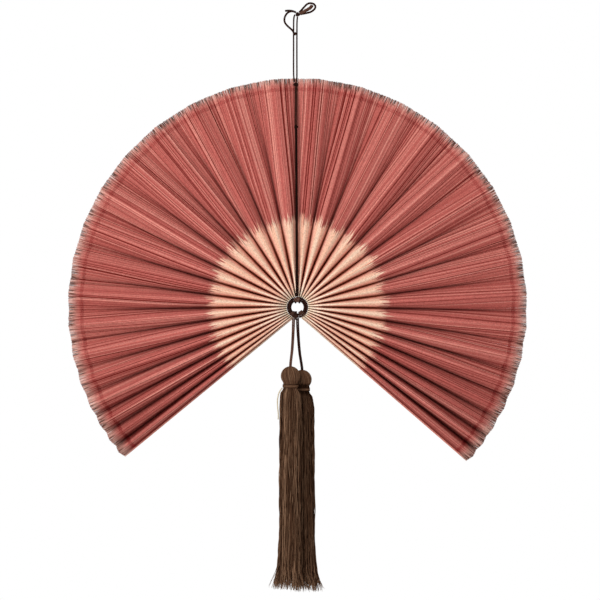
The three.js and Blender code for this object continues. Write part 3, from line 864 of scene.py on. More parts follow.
@dataclass(frozen=True)
class Matting:
    """Half a pleat at a time: its splints, the threads across them and the woven band.

    Overlaps, gaps, wander and splay are shares of a splint's width. A range is a pair of numbers, and
    a cut's shape is that of the beta distribution from which it is drawn.
    """

    plan: FoldPlan
    splints: int = 32
    thickness: float = 0.62
    thickness_range: tuple = (0.8, 1.1)
    tip_thinner: float = 0.25
    splint_overlap: float = 0.22
    fringe_overlap: float = 0.15
    tip_gap: float = 0.1
    edge_wider: float = 1.3
    edge_uneven: float = 0.16
    wander: float = 0.05
    wander_waves: float = 5.0
    wander_inside: float = 0.2
    splay: float = 0.13
    lift: float = 0.06
    lift_waves: tuple = (3, 9)
    fringe_lift: float = 0.15
    inner_reach: float = 0.9
    band_low: float = 327.9
    band_high: float = 332.1
    band_swing: float = 3.5
    band_threads: int = 5
    band_thread: float = 0.8
    thread: float = 0.24
    thread_spacing: float = 14.0
    first_thread: float = 24.0
    thread_proud: float = 0.9
    thread_inside: float = 0.002
    thread_wander: float = 0.0004
    thread_tone_rough: float = 0.12
    thread_sides: int = 3
    tip_cut: float = 1.4
    tip_cut_shape: tuple = (1.1, 1.8)
    tip_reach: float = 0.6
    fringe_middle: float = 0.45
    stations: tuple = (0.0, 0.07, 0.15, 0.24, 0.34, 0.45, 0.56, 0.67, 0.77, 0.86)
    section: tuple = ((-1, 0), (-0.6, 1), (0.6, 1), (1, 0), (0.6, -1), (-0.6, -1))
    tone: float = 0.53
    tone_rough: float = 0.18
    tone_drift: float = 0.09
    odd_tones: tuple = (-0.45, 0.0, 0.3)
    odd_shares: tuple = (0.13, 0.79, 0.08)
    fade_rough: float = 0.26
    fade_drift: float = 0.15
    weathering: tuple = (-0.2, 0.9)
    weathering_power: float = 0.9
    # The painted shade in the folds: the power of the fold's closeness, its share at the hub, and how far out
    # it is full.
    settling_power: float = 2.5
    settled_by_hub: float = 0.12
    by_hub_to: float = 0.05
    pattern_places: int = 4000
    pattern_reach: float = 0.4
    raised_from: float = 0.5
    raised_pace: float = 3.0

    def along_of(self, radius: float) -> float:
        """The share of the way to the rim at a distance from the hub."""
        return (radius - self.plan.start) / self.plan.reach

    def drawn(self, kind: Callable, first: float, second: float) -> np.ndarray:
        """One draw for each splint, as a column."""
        return kind(first, second, self.splints)[:, None]

    def columns(self, higher: float, chance: np.random.Generator) -> tuple[np.ndarray, np.ndarray]:
        """How far out each splint's sections lie: at the stations, the band and its own cut tip.

        Args:
            higher: how much further out the band lies than on average.
            chance: where the cuts come from.

        Returns:
            The share of the way to the rim as (splint, section), and that of the way past the band.
        """
        band_end = self.along_of(self.band_high + higher)
        cut = self.tip_cut * chance.beta(*self.tip_cut_shape, self.splints)
        tips = self.along_of(self.plan.radius + self.tip_reach - cut)[:, None]
        fixed = [*self.stations, self.along_of(self.band_low + higher), band_end]
        between = self.fringe_middle * tips + (1 - self.fringe_middle) * band_end
        along = np.concatenate(
            [np.broadcast_to(fixed, (self.splints, len(fixed))), between, tips], axis=1
        )
        past_band = np.clip((along - band_end) / (1 - band_end), 0, 1)
        behind_ring = np.arange(self.splints) > self.splints / 2
        along[behind_ring, 0] -= self.inner_reach / self.plan.reach
        return along, past_band

    def side_by_side(
        self, strip: Strip, along: np.ndarray, past_band: np.ndarray, chance: np.random.Generator
    ) -> tuple[np.ndarray, np.ndarray]:
        """Lays the splints out evenly: each wanders in a slow wave and splays in the fringe.

        Args:
            strip: the sheet.
            along: how far out the sections lie.
            past_band: how far past the band.
            chance: where the differences come from.

        Returns:
            The sections' places across the sheet and the splints' widths there.
        """
        edges = np.linspace(0, 1, self.splints + 1)
        uneven = chance.uniform(-self.edge_uneven, self.edge_uneven, self.splints - 1)
        edges[1:-1] += uneven / self.splints
        middle, width = (edges[1:] + edges[:-1]) / 2, np.diff(edges)
        width[[0, -1]] *= self.edge_wider
        size, phase = self.drawn(chance.normal, 0, self.wander), self.drawn(chance.uniform, 0, TURN)
        wander = size * np.sin(along * self.wander_waves + phase)
        splay = self.drawn(chance.normal, 0, self.splay) * past_band
        shares = middle[:, None] + (wander + splay) / self.splints
        held = np.clip(shares, self.wander_inside / self.splints, 1)
        place, length = strip.places_of(held, along.mean(axis=0))
        return place, width[:, None] * length

    def lifts(
        self, along: np.ndarray, past_band: np.ndarray, chance: np.random.Generator
    ) -> np.ndarray:
        """How far each splint stands off the sheet: a level, a slow wave, and more in the fringe.

        Args:
            along: how far out the sections lie.
            past_band: how far past the band.
            chance: where the differences come from.

        Returns:
            The heights as (splint, section).
        """
        level = self.drawn(chance.normal, 0, self.lift)
        swing = self.drawn(chance.normal, 0, self.lift)
        pace = self.drawn(chance.uniform, *self.lift_waves)
        wave = swing * np.sin(along * pace + self.drawn(chance.uniform, 0, TURN))
        return level + wave + self.drawn(chance.normal, 0, self.fringe_lift) * past_band**2

    def splint_traits(
        self, settled: np.ndarray, past_band: np.ndarray, chance: np.random.Generator
    ) -> np.ndarray:
        """What the finish reads on the splints.

        A splint's tone has a part of its own, one that drifts from splint to splint, and for a few
        a step to darker or lighter. Tips weather in pairs.

        Args:
            settled: how much painted shade each section takes, by how deep it lies in a closed fold.
            past_band: how far past the band.
            chance: where the differences come from.

        Returns:
            The traits as (splint, section, 4).
        """
        rough = chance.normal(0, 1, self.splints)
        drift = np.convolve(chance.normal(0, 1, self.splints + 2), np.ones(3) / 3, "valid")
        odd = chance.choice(self.odd_tones, self.splints, p=self.odd_shares)
        tone = self.tone + self.tone_rough * rough + self.tone_drift * drift + odd
        own_fade = self.fade_rough * chance.normal(0, 1, self.splints)
        fade = PLAIN_TRAIT + own_fade + self.fade_drift * drift
        pairs = np.repeat(chance.uniform(*self.weathering, self.splints // 2), 2).clip(0, 1)
        wear = past_band**self.weathering_power * pairs[:, None]
        return joined(tone.clip(0, 1)[:, None], fade.clip(0, 1)[:, None], settled, wear)

    def splint_patch(self, strip: Strip, higher: float, chance: np.random.Generator) -> Patch:
        """The splints of half a pleat, each a flat stick with round edges.

        The painted shade in the folds at a point is its place across, times a power of the fold's
        closeness, which is 1 less the strip's width from the front by its own, times a share that is
        less by the hub.

        Args:
            strip: the sheet.
            higher: how much further out the band lies than on average.
            chance: where the splints' differences come from.

        Returns:
            One tube a splint, numbered by U, with V the distance from the hub. Near the rim V is less
            by how much higher the band lies.
        """
        along, past_band = self.columns(higher, chance)
        place, width = self.side_by_side(strip, along, past_band, chance)
        centre, across, _, normal = strip.frame_at(place, along)
        lift = self.lifts(along, past_band, chance)
        overlap = np.where(past_band > 0, self.fringe_overlap, self.splint_overlap)
        overlap[:, -1] = -self.tip_gap
        half_width = width * (1 + overlap) / 2
        thickness = self.thickness * self.drawn(chance.uniform, *self.thickness_range)
        half_thick = thickness / 2 * (1 - self.tip_thinner * past_band)
        section = np.array(self.section)
        rings = carried(
            centre + lift[..., None] * normal, across, normal,
            half_width[..., None] * section[:, 0], half_thick[..., None] * section[:, 1],
        )
        first = chance.integers(0, self.pattern_places)
        number = first + np.arange(self.splints)[:, None, None] + 0.5 + self.pattern_reach * section[:, 0]
        raised = higher * smooth_step((along - self.raised_from) * self.raised_pace)
        reach = self.plan.start + along * self.plan.reach - raised
        # Painted shade in the folds: more towards the valley and the closer the fold, and less by the hub.
        closed = 1 - strip.chord(along) / self.plan.strip_width()
        by_hub = self.settled_by_hub + (1 - self.settled_by_hub) * smooth_step(along / self.by_hub_to)
        traits = self.splint_traits(place * closed**self.settling_power * by_hub, past_band, chance)
        return skin(rings, joined(number, reach[..., None] * MM), traits[:, :, None, :])

    def thread_patch(
        self, strip: Strip, radii: np.ndarray, size: float, finish: int, chance: np.random.Generator
    ) -> Patch:
        """Threads across half a pleat, each over one splint and under the next.

        Args:
            strip: the sheet.
            radii: the threads' distances from the hub.
            size: their thickness.
            finish: which of the piece's materials they take.
            chance: where their differences come from.

        Returns:
            One tube of three sides a thread.
        """
        along = self.along_of(radii)
        steps = np.linspace(0, 1, self.splints + 1)
        place, _ = strip.places_of(np.broadcast_to(steps[:, None], (len(steps), len(radii))), along)
        columns = along + chance.normal(0, self.thread_wander, place.shape)
        inside = np.clip(place, self.thread_inside, 1 - self.thread_inside)
        centre, _, out, normal = strip.frame_at(inside, columns)
        over = (np.arange(len(steps))[:, None] + np.arange(len(radii))) % 2 == 1
        proud = np.where(over, 1.0, -1.0) * (self.thickness + size) / 2 * self.thread_proud
        corner = corner_angles(self.thread_sides)
        middle = centre + normal * proud[..., None]
        rings = carried(middle, normal, out, size / 2 * np.cos(corner), size / 2 * np.sin(corner))
        run = np.linspace(0, self.plan.strip_width() * MM, len(steps))
        uv = joined(corner / TURN, run[:, None] + radii[:, None, None])
        tones = PLAIN_TRAIT + chance.normal(0, self.thread_tone_rough, (len(radii), 1, 1))
        return skin(np.moveaxis(rings, 1, 0), uv, strand_traits(tones), finish=finish)

    def half_pleat(
        self, side: Side, pleat: int, half: Half, palette: Palette
    ) -> bpy.types.Object:
        """Makes half a pleat.

        The outer half of the last pleat rides with that pleat's body; the other halves stay where they
        are made.

        Args:
            side: the side of the fan.
            pleat: the pleat's number, from 1 at the top.
            half: which half of it.
            palette: the materials.

        Returns:
            The piece.
        """
        is_inner = half is Half.INNER
        strip = Strip(self.plan.ridge(side, pleat), self.plan.valley(side, pleat - is_inner))
        chance = np.random.default_rng([pleat, is_inner, side is Side.RIGHT])
        radii = np.arange(self.first_thread, self.band_low - self.thread_spacing / 2, self.thread_spacing)
        turn = math.radians(self.plan.rim_angle(side, pleat - (0.75 if is_inner else 0.25)))
        higher = self.band_swing * math.cos(turn)
        band = np.linspace(self.band_low, self.band_high, self.band_threads) + higher
        node = f"{side.label}_pleat_{pleat:02d}"
        piece = make_piece(
            f"{node}_{half.value}_half",
            [
                self.splint_patch(strip, higher, chance),
                self.thread_patch(strip, radii, self.thread, 1, chance),
                self.thread_patch(strip, band, self.band_thread, 2, chance),
            ],
            [palette.matting, palette.thread, palette.selvedge],
        )
        if is_inner:
            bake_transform(piece)
        elif pleat < self.plan.pleats:
            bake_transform(piece)
        else:
            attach(piece, node)
        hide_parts(node)
        return piece


@dataclass(frozen=True)
class EdgeSlat:
    """The stiff slat that ends the matting on each side, flat to the front.

    Its section is a rounded oblong: the cosine and sine of a circle, each to a power. Its place in
    the pattern is one that no splint has.
    """

    plan: FoldPlan
    width: float = 3.2
    thickness: float = 0.9
    outward: float = 1.0
    sunk: float = 0.2
    stations: int = 30
    corners: int = 8
    corner_power: float = 0.55
    place: float = 9000.5
    traits: tuple = (0.92, 0.5, 0.0, 0.3)

    def build(self, side: Side, palette: Palette) -> bpy.types.Object:
        """Makes the slat along the last valley.

        Args:
            side: the side of the fan.
            palette: the materials.

        Returns:
            The piece, which rides with the last pleat.
        """
        ends = self.plan.valley(side, self.plan.pleats)
        out = unit(ends[1] - ends[0])
        across = unit(np.cross(out, FRONT)) * side.value
        front = unit(np.cross(across, out)) * side.value
        along = np.linspace(0, 1, self.stations)[:, None]
        centre = ends[0] + along * (ends[1] - ends[0]) + across * self.outward - front * self.sunk
        corner = corner_angles(self.corners) + TURN / 2 / self.corners
        circle = joined(np.cos(corner), np.sin(corner))
        ring = np.sign(circle) * np.abs(circle) ** self.corner_power
        ring = ring * [self.width / 2, self.thickness / 2]
        rings = carried(centre, across, front, ring[:, 0], ring[:, 1])
        reach = (self.plan.start + along * self.plan.reach) * MM
        uv = joined(self.place + ring[:, 0] / self.width, reach)
        patch = skin(rings[None], uv[None], np.array(self.traits))
        body = f"{side.label}_pleat_{self.plan.pleats:02d}"
        return dressed_piece(
            f"{side.label}_edge_slat", [patch], palette.matting, body
        )


def through(points: object, step: float) -> np.ndarray:
    """A smooth line through points, in even steps.

    Between two points it is a Catmull-Rom curve whose parameter grows with the square root of the
    distance, so it doesn't overshoot where points lie close together.

    Args:
        points: the points, in millimetres.
        step: about how far apart the result's points are.

    Returns:
        The points of the line.
    """
    given = np.asarray(points, float)
    padded = np.concatenate([2 * given[:1] - given[1:2], given, 2 * given[-1:] - given[-2:-1]])
    apart = np.linalg.norm(np.diff(padded, axis=0), axis=1)
    knots = np.concatenate([[0], np.cumsum(np.sqrt(apart))])
    count = len(given) - 1
    t = [knots[i : i + count, None, None] for i in range(4)]
    p = [padded[i : i + count, None] for i in range(4)]
    at = t[1] + np.linspace(0, 1, CURVE_STEPS)[None, :, None] * (t[2] - t[1])

    def between(a: int, b: int, low: np.ndarray, high: np.ndarray) -> np.ndarray:
        """Goes evenly from low at one knot to high at another."""
        return ((t[b] - at) * low + (at - t[a]) * high) / (t[b] - t[a])

    first = [between(i, i + 1, p[i], p[i + 1]) for i in range(3)]
    second = [between(i, i + 2, first[i], first[i + 1]) for i in range(2)]
    line = between(1, 2, second[0], second[1])
    fine = np.concatenate([line[:, :-1].reshape(-1, 3), given[-1:]])
    length = way_along(fine)
    even = np.linspace(0, length[-1], max(FEWEST_POINTS, int(round(length[-1] / step)) + 1))
    return np.stack([np.interp(even, length, fine[:, axis]) for axis in range(3)], axis=-1)


@dataclass(frozen=True)
class Rope:
    """A cord of twisted plies.

    Round the cord its radius is R (1 - g (1 - |cos(n (a - turn s)/2)|)): n lobes that turn with the
    way along it, with grooves of the share g between them.
    """

    diameter: float
    plies: int = 3
    groove: float = 0.17
    lay: float = 2.6
    corners: int = 12

    def rings(
        self, line: np.ndarray, beside: np.ndarray, closed: bool = False
    ) -> tuple[np.ndarray, np.ndarray]:
        """The rings of points round a line.

        Args:
            line: the points that the cord follows.
            beside: a direction for each point, or one for all, that isn't along the line.
            closed: whether the line runs on into its start.

        Returns:
            The rings as (station, corner, axis), and their UV as (station, corner, 2).
        """
        if closed:
            ahead = unit(np.roll(line, -1, axis=0) - np.roll(line, 1, axis=0))
        else:
            ahead = unit(np.gradient(line, axis=0))
        first = unit(beside - ahead * (beside * ahead).sum(axis=-1, keepdims=True))
        run = way_along(line)
        turns = run / (self.lay * self.diameter)
        if closed:
            whole = max(1, round(turns[-1] * self.plies)) / self.plies
            turns = turns / turns[-1] * whole * (1 - 1 / len(line))
        corner = corner_angles(self.corners)
        lobe = np.abs(np.cos(self.plies / 2 * (corner - TURN * turns[:, None])))
        radius = self.diameter / 2 * (1 - self.groove * (1 - lobe))
        across, up = radius * np.cos(corner), radius * np.sin(corner)
        around = corner / TURN - turns[:, None]
        return carried(line, first, np.cross(ahead, first), across, up), joined(around, run[:, None] * MM)

    def patch(
        self, line: np.ndarray, beside: np.ndarray, tones: object = PLAIN_TRAIT, closed: bool = False
    ) -> Patch:
        """The cord's patch along a line.

        Args:
            line: the points that the cord follows.
            beside: a direction for each point, or one for all, that isn't along the line.
            tones: how light it is, one number or one for each point.
            closed: whether the line runs on into its start.

        Returns:
            The patch.
        """
        rings, uv = self.rings(line, beside, closed)
        tones = np.broadcast_to(tones, len(line))
        return skin(rings[None], uv[None], strand_traits(tones)[None, :, None], closed)


@dataclass(frozen=True)
class Knot:
    """A tight overhand knot that fills a node's box.

    Its cord follows a trefoil: ((2 + cos 3a) cos 2a, (2 + cos 3a) sin 2a, sin 3a) over 3, scaled.
    """

    node: str
    cord: float
    tilt: float
    tone: float
    proud: float = 0.5
    stations: int = 72
    depth: float = 1.5
    twist_start: tuple = (0.01, 0.02, 0.03)

    def build(self, palette: Palette) -> bpy.types.Object:
        """Makes the knot in place of its node.

        Args:
            palette: the materials.

        Returns:
            The piece.
        """
        angle = corner_angles(self.stations)
        ring = 2 + np.cos(3 * angle)
        depth = self.depth * np.sin(3 * angle)
        shape = joined(ring * np.cos(2 * angle), depth, ring * np.sin(2 * angle)) / 3
        cosine, sine = math.cos(self.tilt), math.sin(self.tilt)
        shape = shape @ np.array([[cosine, 0, -sine], [0, 1, 0], [sine, 0, cosine]])
        around = shape * (node_half_size(self.node) + self.proud - self.cord / 2)
        line = node_middle(self.node) + around
        patch = Rope(self.cord).patch(line, around + self.twist_start, self.tone, closed=True)
        return dressed_piece(
            f"tied_{self.node}", [patch], palette.cord, "root", self.node
        )


@dataclass(frozen=True)
class HubRing:
    """The ring of one cord wound round a hollow bundle, a little further round it at each turn.

    Short turns of a knot's cord lie round the bundle at the angles given, in degrees clockwise from
    the top. A wrap is how thick its cord is, and how much nearer the hub its middle lies than the
    ring's.
    """

    radius: float = 12.7
    forward: float = 14.0
    cord: float = 2.4
    turns: int = 5
    turn_clearance: float = 0.48
    steps: int = 96
    tone: float = 0.42
    knot_tone: float = 0.75
    thick_wrap: tuple = (1.7, 1.0)
    thin_wrap: tuple = (1.2, 0.2)
    wrap_sunk: float = 0.25
    wrap_steps: int = 56
    top_wraps: tuple = (-26.0, -17.0, 17.0, 26.0)
    right_wraps: tuple = (130.0, 139.0, 148.0, 157.0, 166.0)
    left_wraps: tuple = (210.0, 216.0, 222.0, 228.0)

    @property
    def bundle(self) -> float:
        """The radius of the bundle that the turns lie on."""
        return (self.cord + self.turn_clearance) / (2 * math.sin(math.pi / self.turns))

    def build(self, palette: Palette) -> bpy.types.Object:
        """Makes the wound ring, on a path that turns once round the bundle in all its turns.

        Args:
            palette: the materials.

        Returns:
            The piece.
        """
        sweep = TURN * self.turns - 2 * self.cord / self.radius
        around = np.linspace(0, sweep, self.steps * self.turns)
        turned = around[:, None] / self.turns
        outward = joined(np.sin(around), 0.0, np.cos(around))
        beside = np.cos(turned) * outward - np.sin(turned) * FRONT
        line = HUB + FRONT * self.forward + self.radius * outward + self.bundle * beside
        patches = [Rope(self.cord).patch(line, beside, self.tone)]
        for angles, tone, wrap in (
            (self.top_wraps, self.tone, self.thick_wrap),
            (self.right_wraps, self.knot_tone, self.thick_wrap),
            (self.left_wraps, self.knot_tone, self.thin_wrap),
        ):
            patches += [self.wrap(angle, tone, *wrap) for angle in angles]
        return dressed_piece(
            "wound_hub_ring", patches, palette.cord, "root", "hub_ring"
        )

    def wrap(self, angle: float, tone: float, cord: float, inwards: float) -> Patch:
        """One turn of a knot's cord round the bundle.

        Args:
            angle: where on the ring it lies, in degrees clockwise from the top.
            tone: how light it is.
            cord: how thick it is.
            inwards: how much nearer the hub its middle lies than the ring's.

        Returns:
            A closed circle of cord round the ring's section.
        """
        outward = np.array([math.sin(math.radians(angle)), 0.0, math.cos(math.radians(angle))])
        around = corner_angles(self.wrap_steps)[:, None]
        beside = np.cos(around) * outward - np.sin(around) * FRONT
        centre = HUB + FRONT * self.forward + (self.radius - inwards) * outward
        reach = self.bundle + (self.cord + cord) / 2 - self.wrap_sunk
        return Rope(cord).patch(centre + reach * beside, beside, tone, closed=True)


@dataclass(frozen=True)
class HangingCord:
    """The cord up the centre valley, its knots, and the loop over the nail with its bow.

    The routes are lists of points. Those of the legs' upper parts are from the nail, those of their
    lower parts from the rim knot, and the others from the top knot.
    """

    cord: float = 2.2
    leg_cord: float = 2.5
    # The run is a doubled cord, drawn thick and dark so that it also holds its painted shadow in the valley.
    run_cord: float = 4.2
    bow_cord: float = 3.2
    end_cord: float = 5.4
    tone: float = 0.45
    # The run's tone: dark for the cord and for its painted shadow.
    run_tone: float = 0.1
    end_tone: float = 0.8
    knot_gap: float = 0.3
    twin_clearance: float = 0.1
    step: float = 0.55
    knots: tuple = (
        # The ring knot's light tone is a painted highlight on its lump.
        Knot("ring_knot", cord=2.4, tilt=1.2, tone=0.9),
        Knot("middle_knot", cord=2.4, tilt=0.3, tone=0.2, proud=0.9),
        Knot("rim_knot", cord=2.4, tilt=0.9, tone=0.3),
        Knot("top_knot", cord=2.6, tilt=0.2, tone=0.4),
        Knot("end_knot", cord=2.2, tilt=1.4, tone=0.4),
    )
    left_leg_low: tuple = ((-2.6, -0.1, 3.9), (-3.5, -0.3, 14), (-3.7, -0.6, 36))
    left_leg_high: tuple = (
        (-2.6, 0, -44), (-2.6, 0, -22), (-2.5, -0.1, -7), (-2.2, -0.3, -1.5), (-1.4, -0.5, 2.4),
        (-0.2, -0.6, 4.3),
    )
    right_leg_low: tuple = ((1.1, -0.1, 4.1), (1.4, -0.3, 14), (1.4, -0.6, 36))
    right_leg_high: tuple = ((2.4, 0, -44), (2.5, 0, -22), (2.6, -0.1, -8), (2.9, -0.3, -3), (3.3, -0.5, 0.9))
    bow_loop: tuple = (
        (2.4, -1, 3.1), (5.9, -1.6, 6.6), (9.7, -2.4, 10.8), (13.6, -3, 14.8), (17.3, -3.4, 16.6),
        (20.7, -3.6, 16.7), (24.9, -3.6, 15.2), (27, -3.4, 12), (26.3, -3.2, 8.8), (24.1, -2.8, 6.4),
        (19.4, -2.2, 3.4), (13.3, -1.6, 1.8), (7.5, -1, 0.8), (3.8, -0.6, 0.1),
    )
    bow_end: tuple = (
        (3.2, -3.1, 0.8), (7.8, -4.3, 3), (12.7, -5.2, 5.6), (17.3, -5.6, 8.2), (20.5, -5.6, 10.8),
        (21.7, -5.4, 13.6),
    )
    side_strand: tuple = (
        (-2.8, -2.6, 2.8), (-5.5, -3.6, 4), (-10.2, -4.2, 4.2), (-14.5, -4.4, 2.6), (-18.3, -4.4, -1.6),
        (-20.3, -4.4, -7.6), (-19.6, -4.2, -12.6), (-16.9, -4, -16.6), (-13.2, -3.8, -20.2),
        (-9.7, -3.7, -23.2), (-6.4, -3.6, -27.2),
    )
    cord_tail: tuple = ((-3, 0, 3), (-8.2, -0.4, 5.2), (-13.7, -0.8, 5.8), (-19.3, -1.2, 5.2))

    def strand(
        self, node: str, line: np.ndarray, diameter: float, tone: float, palette: Palette
    ) -> bpy.types.Object:
        """Makes one stretch of cord in place of its node.

        Args:
            node: the node that it stands for.
            line: the points that it follows.
            diameter: how thick it is.
            tone: how light it is.
            palette: the materials.

        Returns:
            The piece.
        """
        patch = Rope(diameter).patch(line, FRONT, tone)
        return dressed_piece(f"{node}_run", [patch], palette.cord, "root", node)

    def straight(self, low: np.ndarray, high: np.ndarray, node: str, beside: float) -> np.ndarray:
        """The part of the straight line from low to high that lies in a node's box.

        Args:
            low: the line's lower point.
            high: its upper point.
            node: the node, whose box gives the heights.
            beside: how far to the right of the line the run lies.

        Returns:
            The points of the run.
        """
        start, end = (corner[2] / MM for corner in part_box(node))
        heights = np.linspace(start, end, max(FEWEST_POINTS, int((end - start) / self.step)))
        share = (heights - low[2]) / (high[2] - low[2])
        return low + share[:, None] * (high - low) + np.array([beside, 0, 0])

    def front_runs(self, palette: Palette) -> list[bpy.types.Object]:
        """Makes the thick run up the centre valley and the two strands side by side above it.

        Args:
            palette: the materials.

        Returns:
            The pieces.
        """
        low, high = node_middle("ring_knot"), node_middle("rim_knot")
        low = low + UP * (node_half_size("ring_knot")[2] + self.knot_gap)
        aside = (self.cord + self.twin_clearance) / 2
        pieces = []
        for node, cord, beside, tone, end in (
            ("hanging_cord", self.run_cord, 0.0, self.run_tone, "middle_knot"),
            ("twin_cord_left", self.cord, -aside, self.tone, "rim_knot"),
            ("twin_cord_right", self.cord, aside, self.tone, "rim_knot"),
        ):
            line = self.straight(low, high, node, beside)
            pieces.append(self.strand(node, line, cord, tone, palette))
        return pieces

    def legs(self, knots: dict, palette: Palette) -> list[bpy.types.Object]:
        """Makes the two legs of the loop, from the rim knot up to the nail.

        Args:
            knots: the knots by their nodes.
            palette: the materials.

        Returns:
            The pieces.
        """
        rim = node_middle("rim_knot")
        pieces = []
        for node, lower, upper, held in (
            ("loop_leg_left", self.left_leg_low, self.left_leg_high, [knots["top_knot"]]),
            ("loop_leg_right", self.right_leg_low, self.right_leg_high, []),
        ):
            line = through(np.concatenate([np.array(lower) + rim, np.array(upper)]), self.step)
            pieces.append(self.strand(node, line, self.leg_cord, self.tone, palette))
        return pieces

    def bow(self, palette: Palette) -> list[bpy.types.Object]:
        """Makes the bow, its end, the side strand and the tail, which all leave the top knot.

        Args:
            palette: the materials.

        Returns:
            The pieces.
        """
        top = node_middle("top_knot")
        made, lines = {}, {}
        for node, route, cord, tone in (
            ("bow_loop", self.bow_loop, self.bow_cord, self.tone),
            ("bow_end", self.bow_end, self.end_cord, self.end_tone),
            ("side_strand", self.side_strand, self.bow_cord, self.tone),
            ("cord_tail", self.cord_tail, self.bow_cord, self.tone),
        ):
            lines[node] = through(np.array(route) + top, self.step)
            made[node] = self.strand(node, lines[node], cord, tone, palette)
        return list(made.values())

    def build(self, palette: Palette) -> list[bpy.types.Object]:
        """Args:
            palette: the materials.

        Returns:
            The pieces.
        """
        knots = {knot.node: knot.build(palette) for knot in self.knots}
        runs = self.front_runs(palette) + self.legs(knots, palette)
        return [*runs, *self.bow(palette), *knots.values()]


@dataclass(frozen=True)
class TasselHitch:
    """The cords looped over the bottom of the ring, and the lashing that holds both tassel cords."""

    loop_cord: float = 1.65
    loops: int = 3
    loop_tone: float = 0.48
    lash_cord: float = 1.5
    lash_turns: int = 3
    lash_tone: float = 0.6
    lash_proud: float = 0.3
    corner_power: float = 0.6
    stations: int = 64

    def turns(self, count: int, cord: float) -> np.ndarray:
        """How far turns of cord that lie side by side are from their middle."""
        return (np.arange(count) - (count - 1) / 2) * cord

    def hitch(self, palette: Palette) -> bpy.types.Object:
        """Makes the loops, each a circle round the ring's section.

        Args:
            palette: the materials.

        Returns:
            The piece.
        """
        middle, half = node_middle("tassel_hitch"), node_half_size("tassel_hitch")
        around = corner_angles(self.stations)
        outward = joined(0.0, np.cos(around), np.sin(around))
        circle = middle + (half[1] - self.loop_cord / 2) * outward
        rope = Rope(self.loop_cord)
        patches = [
            rope.patch(circle + np.array([shift, 0, 0]), outward, self.loop_tone, closed=True)
            for shift in self.turns(self.loops, self.loop_cord)
        ]
        return dressed_piece(
            "looped_hitch", patches, palette.cord, "tassel_hitch", "tassel_hitch"
        )

    def lashing(self, palette: Palette) -> bpy.types.Object:
        """Makes the lashing, whose turns are ovals: a circle's cosine and sine, each to a power.

        Args:
            palette: the materials.

        Returns:
            The piece.
        """
        middle, half = node_middle("hitch_wrap"), node_half_size("hitch_wrap")
        around = corner_angles(self.stations)
        circle = joined(np.cos(around), np.sin(around), 0.0)
        oval = np.sign(circle) * np.abs(circle) ** self.corner_power
        line = middle + oval * (half - self.lash_cord / 2 + self.lash_proud)
        rope = Rope(self.lash_cord)
        patches = [
            rope.patch(line + UP * shift, circle, self.lash_tone, closed=True)
            for shift in self.turns(self.lash_turns, self.lash_cord)
        ]
        return dressed_piece(
            "cord_lashing", patches, palette.cord, "tassel_wrap", "hitch_wrap"
        )

    def build(self, palette: Palette) -> list[bpy.types.Object]:
        """Makes both pieces."""
        return [self.hitch(palette), self.lashing(palette)]


